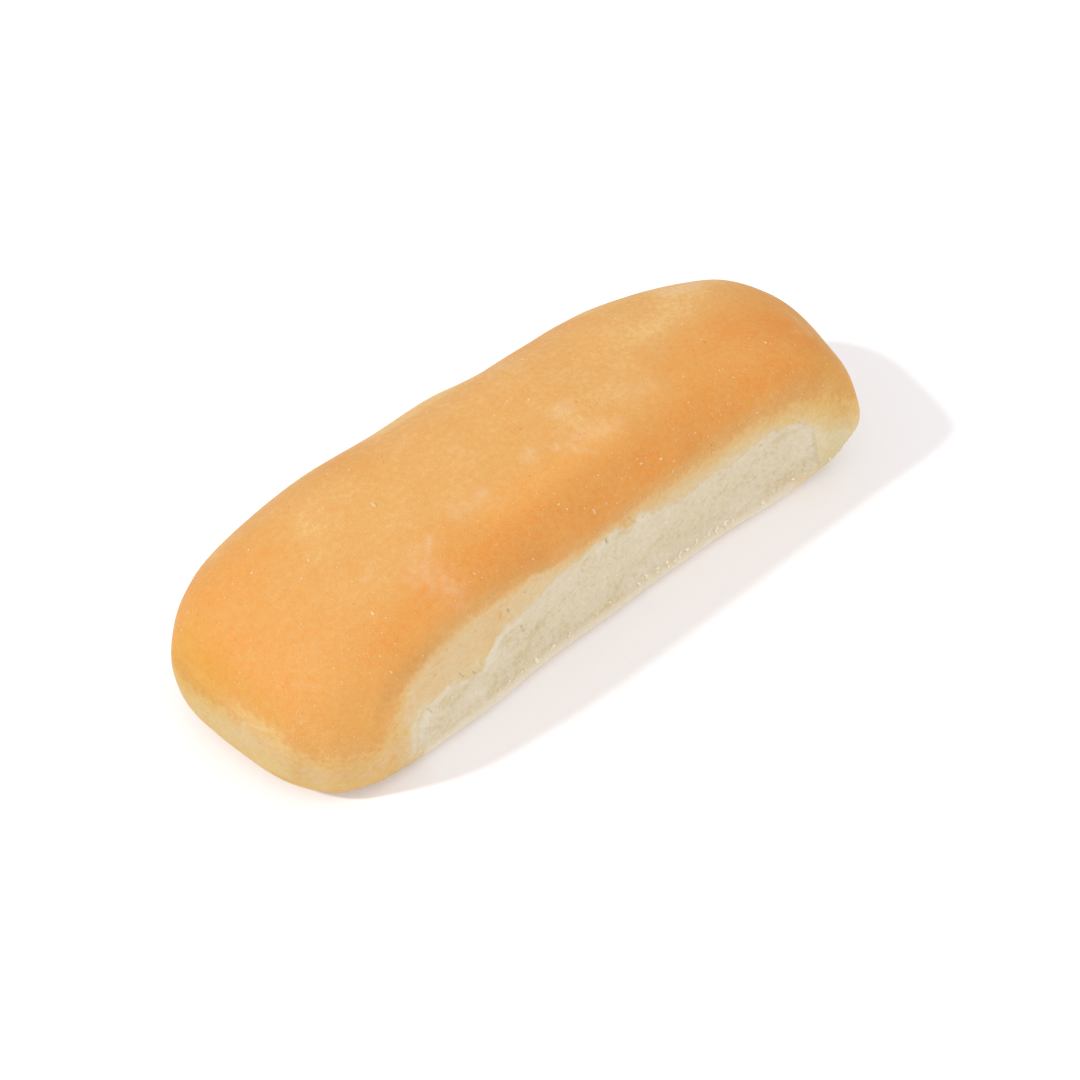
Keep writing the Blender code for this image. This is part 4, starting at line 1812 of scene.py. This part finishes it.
@dataclass
class Blisters:
    """The crust's small blisters, most of them pale and a few browned."""

    baking: Baking
    count: int = 2000
    smallest: float = 0.00007
    largest: float = 0.00020
    size: float = 0.70
    stretch: Spot = (1.1, 1.5)
    uneven: float = 0.35
    rise: float = 0.30
    fineness: float = 2.5
    tones: Spot = (0.2, 1.0)
    dry: float = 0.75
    browned: float = 0.5
    least_bake: float = 0.50
    bake_fade: float = 0.2
    least_height: float = 0.010
    ridge: float = -0.015
    ridge_reach: float = 0.007
    ridge_more: float = 4.0
    seed: int = 41

    def bake_at(self, place: Vector) -> float:
        """How far the crust is baked at a place."""
        return float(self.baking.level(np.array([place]))[0])

    def raise_one(
        self, sowing: Sowing, place: Vector, normal: Vector, radius: float, tone: float
    ) -> None:
        """Raises one blister.

        Args:
            sowing: what it is added to.
            place: where it is.
            normal: which way is out.
            radius: how wide it is, in metres.
            tone: 1 where it is palest and -1 where it is darkest.
        """
        longer = sowing.random.uniform(*self.stretch)
        size = (radius * longer, radius / longer, radius * self.rise)
        marks = {
            "bake": self.bake_at(place),
            "dry": self.dry * max(tone, 0.0),
            "browned": self.browned * max(-tone, 0.0),
        }
        sowing.add(Bead(self.uneven), place, normal, size, **marks)

    def build(self, name: str, skin: bpy.types.Object) -> bpy.types.Object:
        """Raises the blisters that stand out and scatters the small ones.

        Args:
            name: the object's name.
            skin: what they stand on.

        Returns:
            The object.
        """
        sowing = Sowing(skin, self.seed)
        for spots, find in ((CROWN_BLISTERS, sowing.from_above), (FLANK_BLISTERS, sowing.from_the_side)):
            for across, up, radius, tone in spots:
                self.raise_one(sowing, *find(across, up), self.size * radius * MM, tone)
        places = np.array([vert.co for vert in skin.data.vertices])
        level = self.baking.level(places)
        near_ridge = np.exp(-(((places[:, 1] - self.ridge) / self.ridge_reach) ** 2))
        baked = smooth(self.least_bake, self.least_bake + self.bake_fade, level)
        weight = baked * (1 + self.ridge_more * near_ridge)
        weight *= places[:, 2] > self.least_height
        chosen = sowing.random.choice(len(places), self.count, replace=False, p=weight / weight.sum())
        for index in chosen:
            vert = skin.data.vertices[index]
            share = sowing.random.random() ** self.fineness
            radius = self.smallest + (self.largest - self.smallest) * share
            tone = sowing.random.uniform(*self.tones)
            self.raise_one(sowing, vert.co, vert.normal, radius, tone)
        return sowing.gather(name)


@dataclass
class Crumbs:
    """Loose crumbs and flakes along the rim below the torn flank."""

    thickness: float = 0.00018
    width: float = 0.00040
    uneven: float = 0.8
    flatness: Spot = (0.6, 1.0)
    bit_share: Spot = (0.35, 0.7)
    bits: int = 6
    along: float = 0.38
    up: float = 0.38
    stray: int = 26
    stray_places: Spot = (-46, 58)
    stray_height: float = 5.3
    stray_lengths: Spot = (0.3, 0.6)
    seed: int = 5

    def build(self, name: str, skin: bpy.types.Object) -> bpy.types.Object:
        """Lays the crumbs that stand out, and a few strays.

        Args:
            name: the object's name.
            skin: what they lie on.

        Returns:
            The object.
        """
        sowing = Sowing(skin, self.seed)
        for x, z, length in RIM_CRUMBS:
            for _ in range(self.bits):
                self.lay(sowing, x + sowing.random.normal(0, self.along * length), z, length)
        for _ in range(self.stray):
            x = sowing.random.uniform(*self.stray_places)
            self.lay(sowing, x, self.stray_height, sowing.random.uniform(*self.stray_lengths))
        return sowing.gather(name)

    def lay(self, sowing: Sowing, x: float, z: float, length: float) -> None:
        """Lays one crumb.

        Args:
            sowing: what it is added to.
            x: about where it lies along the roll, in millimetres.
            z: about how high it lies, in millimetres.
            length: its length, in millimetres.
        """
        place, normal = sowing.from_the_side(x, z + sowing.random.normal(0, self.up))
        wide, tall = sowing.random.uniform(*self.flatness, 2)
        half_length = length * MM * sowing.random.uniform(*self.bit_share)
        size = (half_length, self.width * wide, self.thickness * tall)
        sowing.add(Bead(self.uneven), place, normal, size)


@dataclass(frozen=True)
class Lamp:
    """A far lamp: where it hangs, how bright it is and how wide it looks, in degrees."""

    name: str
    place: Point
    power: float
    spread: float

    def hang(self) -> None:
        """Hangs the lamp in the scene."""
        lamp = bpy.data.lights.new(self.name, "SUN")
        lamp.energy = self.power
        lamp.angle = math.radians(self.spread)
        hung = bpy.data.objects.new(self.name, lamp)
        hung.rotation_euler = Vector(self.place).to_track_quat("Z", "Y").to_euler()
        bpy.context.scene.collection.objects.link(hung)


@dataclass
class Studio:
    """A faintly pinkish floor with a slight glow, soft light from all round and two lamps."""

    floor_size: float = 12.0
    floor_white: Point = (0.765, 0.740, 0.755)
    floor_glow: float = 0.15
    floor_roughness: float = 0.9
    room_light: float = 0.80
    lamps: tuple[Lamp, ...] = (
        Lamp("main lamp", (-0.70, 0.25, 0.67), 2.04, 5.0),
        Lamp("soft front lamp", (0.35, -0.61, 0.71), 0.85, 90.0),
    )

    def floor(self) -> bpy.types.Object:
        """Makes the floor, which runs out of sight.

        Returns:
            The floor.
        """
        bm = bmesh.new()
        bmesh.ops.create_grid(bm, x_segments=4, y_segments=4, size=self.floor_size / 2)
        mesh = bpy.data.meshes.new("floor")
        bm.to_mesh(mesh)
        bm.free()
        floor = bpy.data.objects.new("floor", mesh)
        bpy.context.scene.collection.objects.link(floor)
        shader = Shader("white paper")
        paper = shader.finish(
            Base_Color=self.floor_white,
            Roughness=self.floor_roughness,
            Specular_IOR_Level=0.0,
            Emission_Color=(1.0, 1.0, 1.0),
            Emission_Strength=self.floor_glow,
        )
        mesh.materials.append(paper)
        return floor

    def light(self) -> None:
        """Lights the room and hangs the lamps."""
        world = bpy.data.worlds.new("soft room")
        world.use_nodes = True
        background = world.node_tree.nodes["Background"]
        background.inputs["Color"].default_value = (1.0, 1.0, 1.0, 1.0)
        background.inputs["Strength"].default_value = self.room_light
        bpy.context.scene.world = world
        for lamp in self.lamps:
            lamp.hang()


@dataclass
class Viewpoint:
    """The camera, a long lens that looks down on the roll across its near end."""

    azimuth: float = -41.25
    elevation: float = 45.76
    distance: float = 0.5966
    lens: float = 104.38
    sensor: float = 36.0
    aim: Point = (-0.00243, -0.00680, 0.01536)

    def set_up(self) -> None:
        """Makes the scene's camera."""
        turn, tilt = math.radians(self.azimuth), math.radians(self.elevation)
        back = Vector((math.sin(turn) * math.cos(tilt), -math.cos(turn) * math.cos(tilt), math.sin(tilt)))
        camera = bpy.data.objects.new("camera", bpy.data.cameras.new("camera"))
        camera.data.sensor_width = self.sensor
        camera.data.lens = self.lens
        camera.location = Vector(self.aim) + self.distance * back
        camera.rotation_euler = (-back).to_track_quat("-Z", "Y").to_euler()
        bpy.context.scene.collection.objects.link(camera)
        bpy.context.scene.camera = camera


def seat(piece: bpy.types.Object, material: bpy.types.Material) -> None:
    """Dresses a piece and lets it ride on the roll's body.

    Args:
        piece: the piece.
        material: its material.
    """
    piece.data.materials.append(material)
    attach(piece, BODY)
    triangles = sum(len(face.vertices) - 2 for face in piece.data.polygons)
    log.info("%s: %d triangles", piece.name, triangles)


def main() -> None:
    """Builds the roll, the studio and the camera."""
    logging.basicConfig(level=logging.INFO, format="%(name)s %(message)s")
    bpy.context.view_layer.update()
    Viewpoint().set_up()
    studio = Studio()
    studio.floor()
    studio.light()
    bpy.context.scene.view_settings.view_transform = "Standard"
    baking = Baking()
    skin = Skin(Caster(Dough()), baking).build("baked_skin")
    seat(skin, Baked().material("baked skin"))
    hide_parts(NODE)
    bpy.context.view_layer.update()
    seat(Blisters(baking).build("crust_blisters", skin), Beaded().material("blistered crust"))
    seat(Crumbs().build("loose_crumbs", skin), Crumbly().material("dry crumb"))


if __name__ == "__main__":
    main()
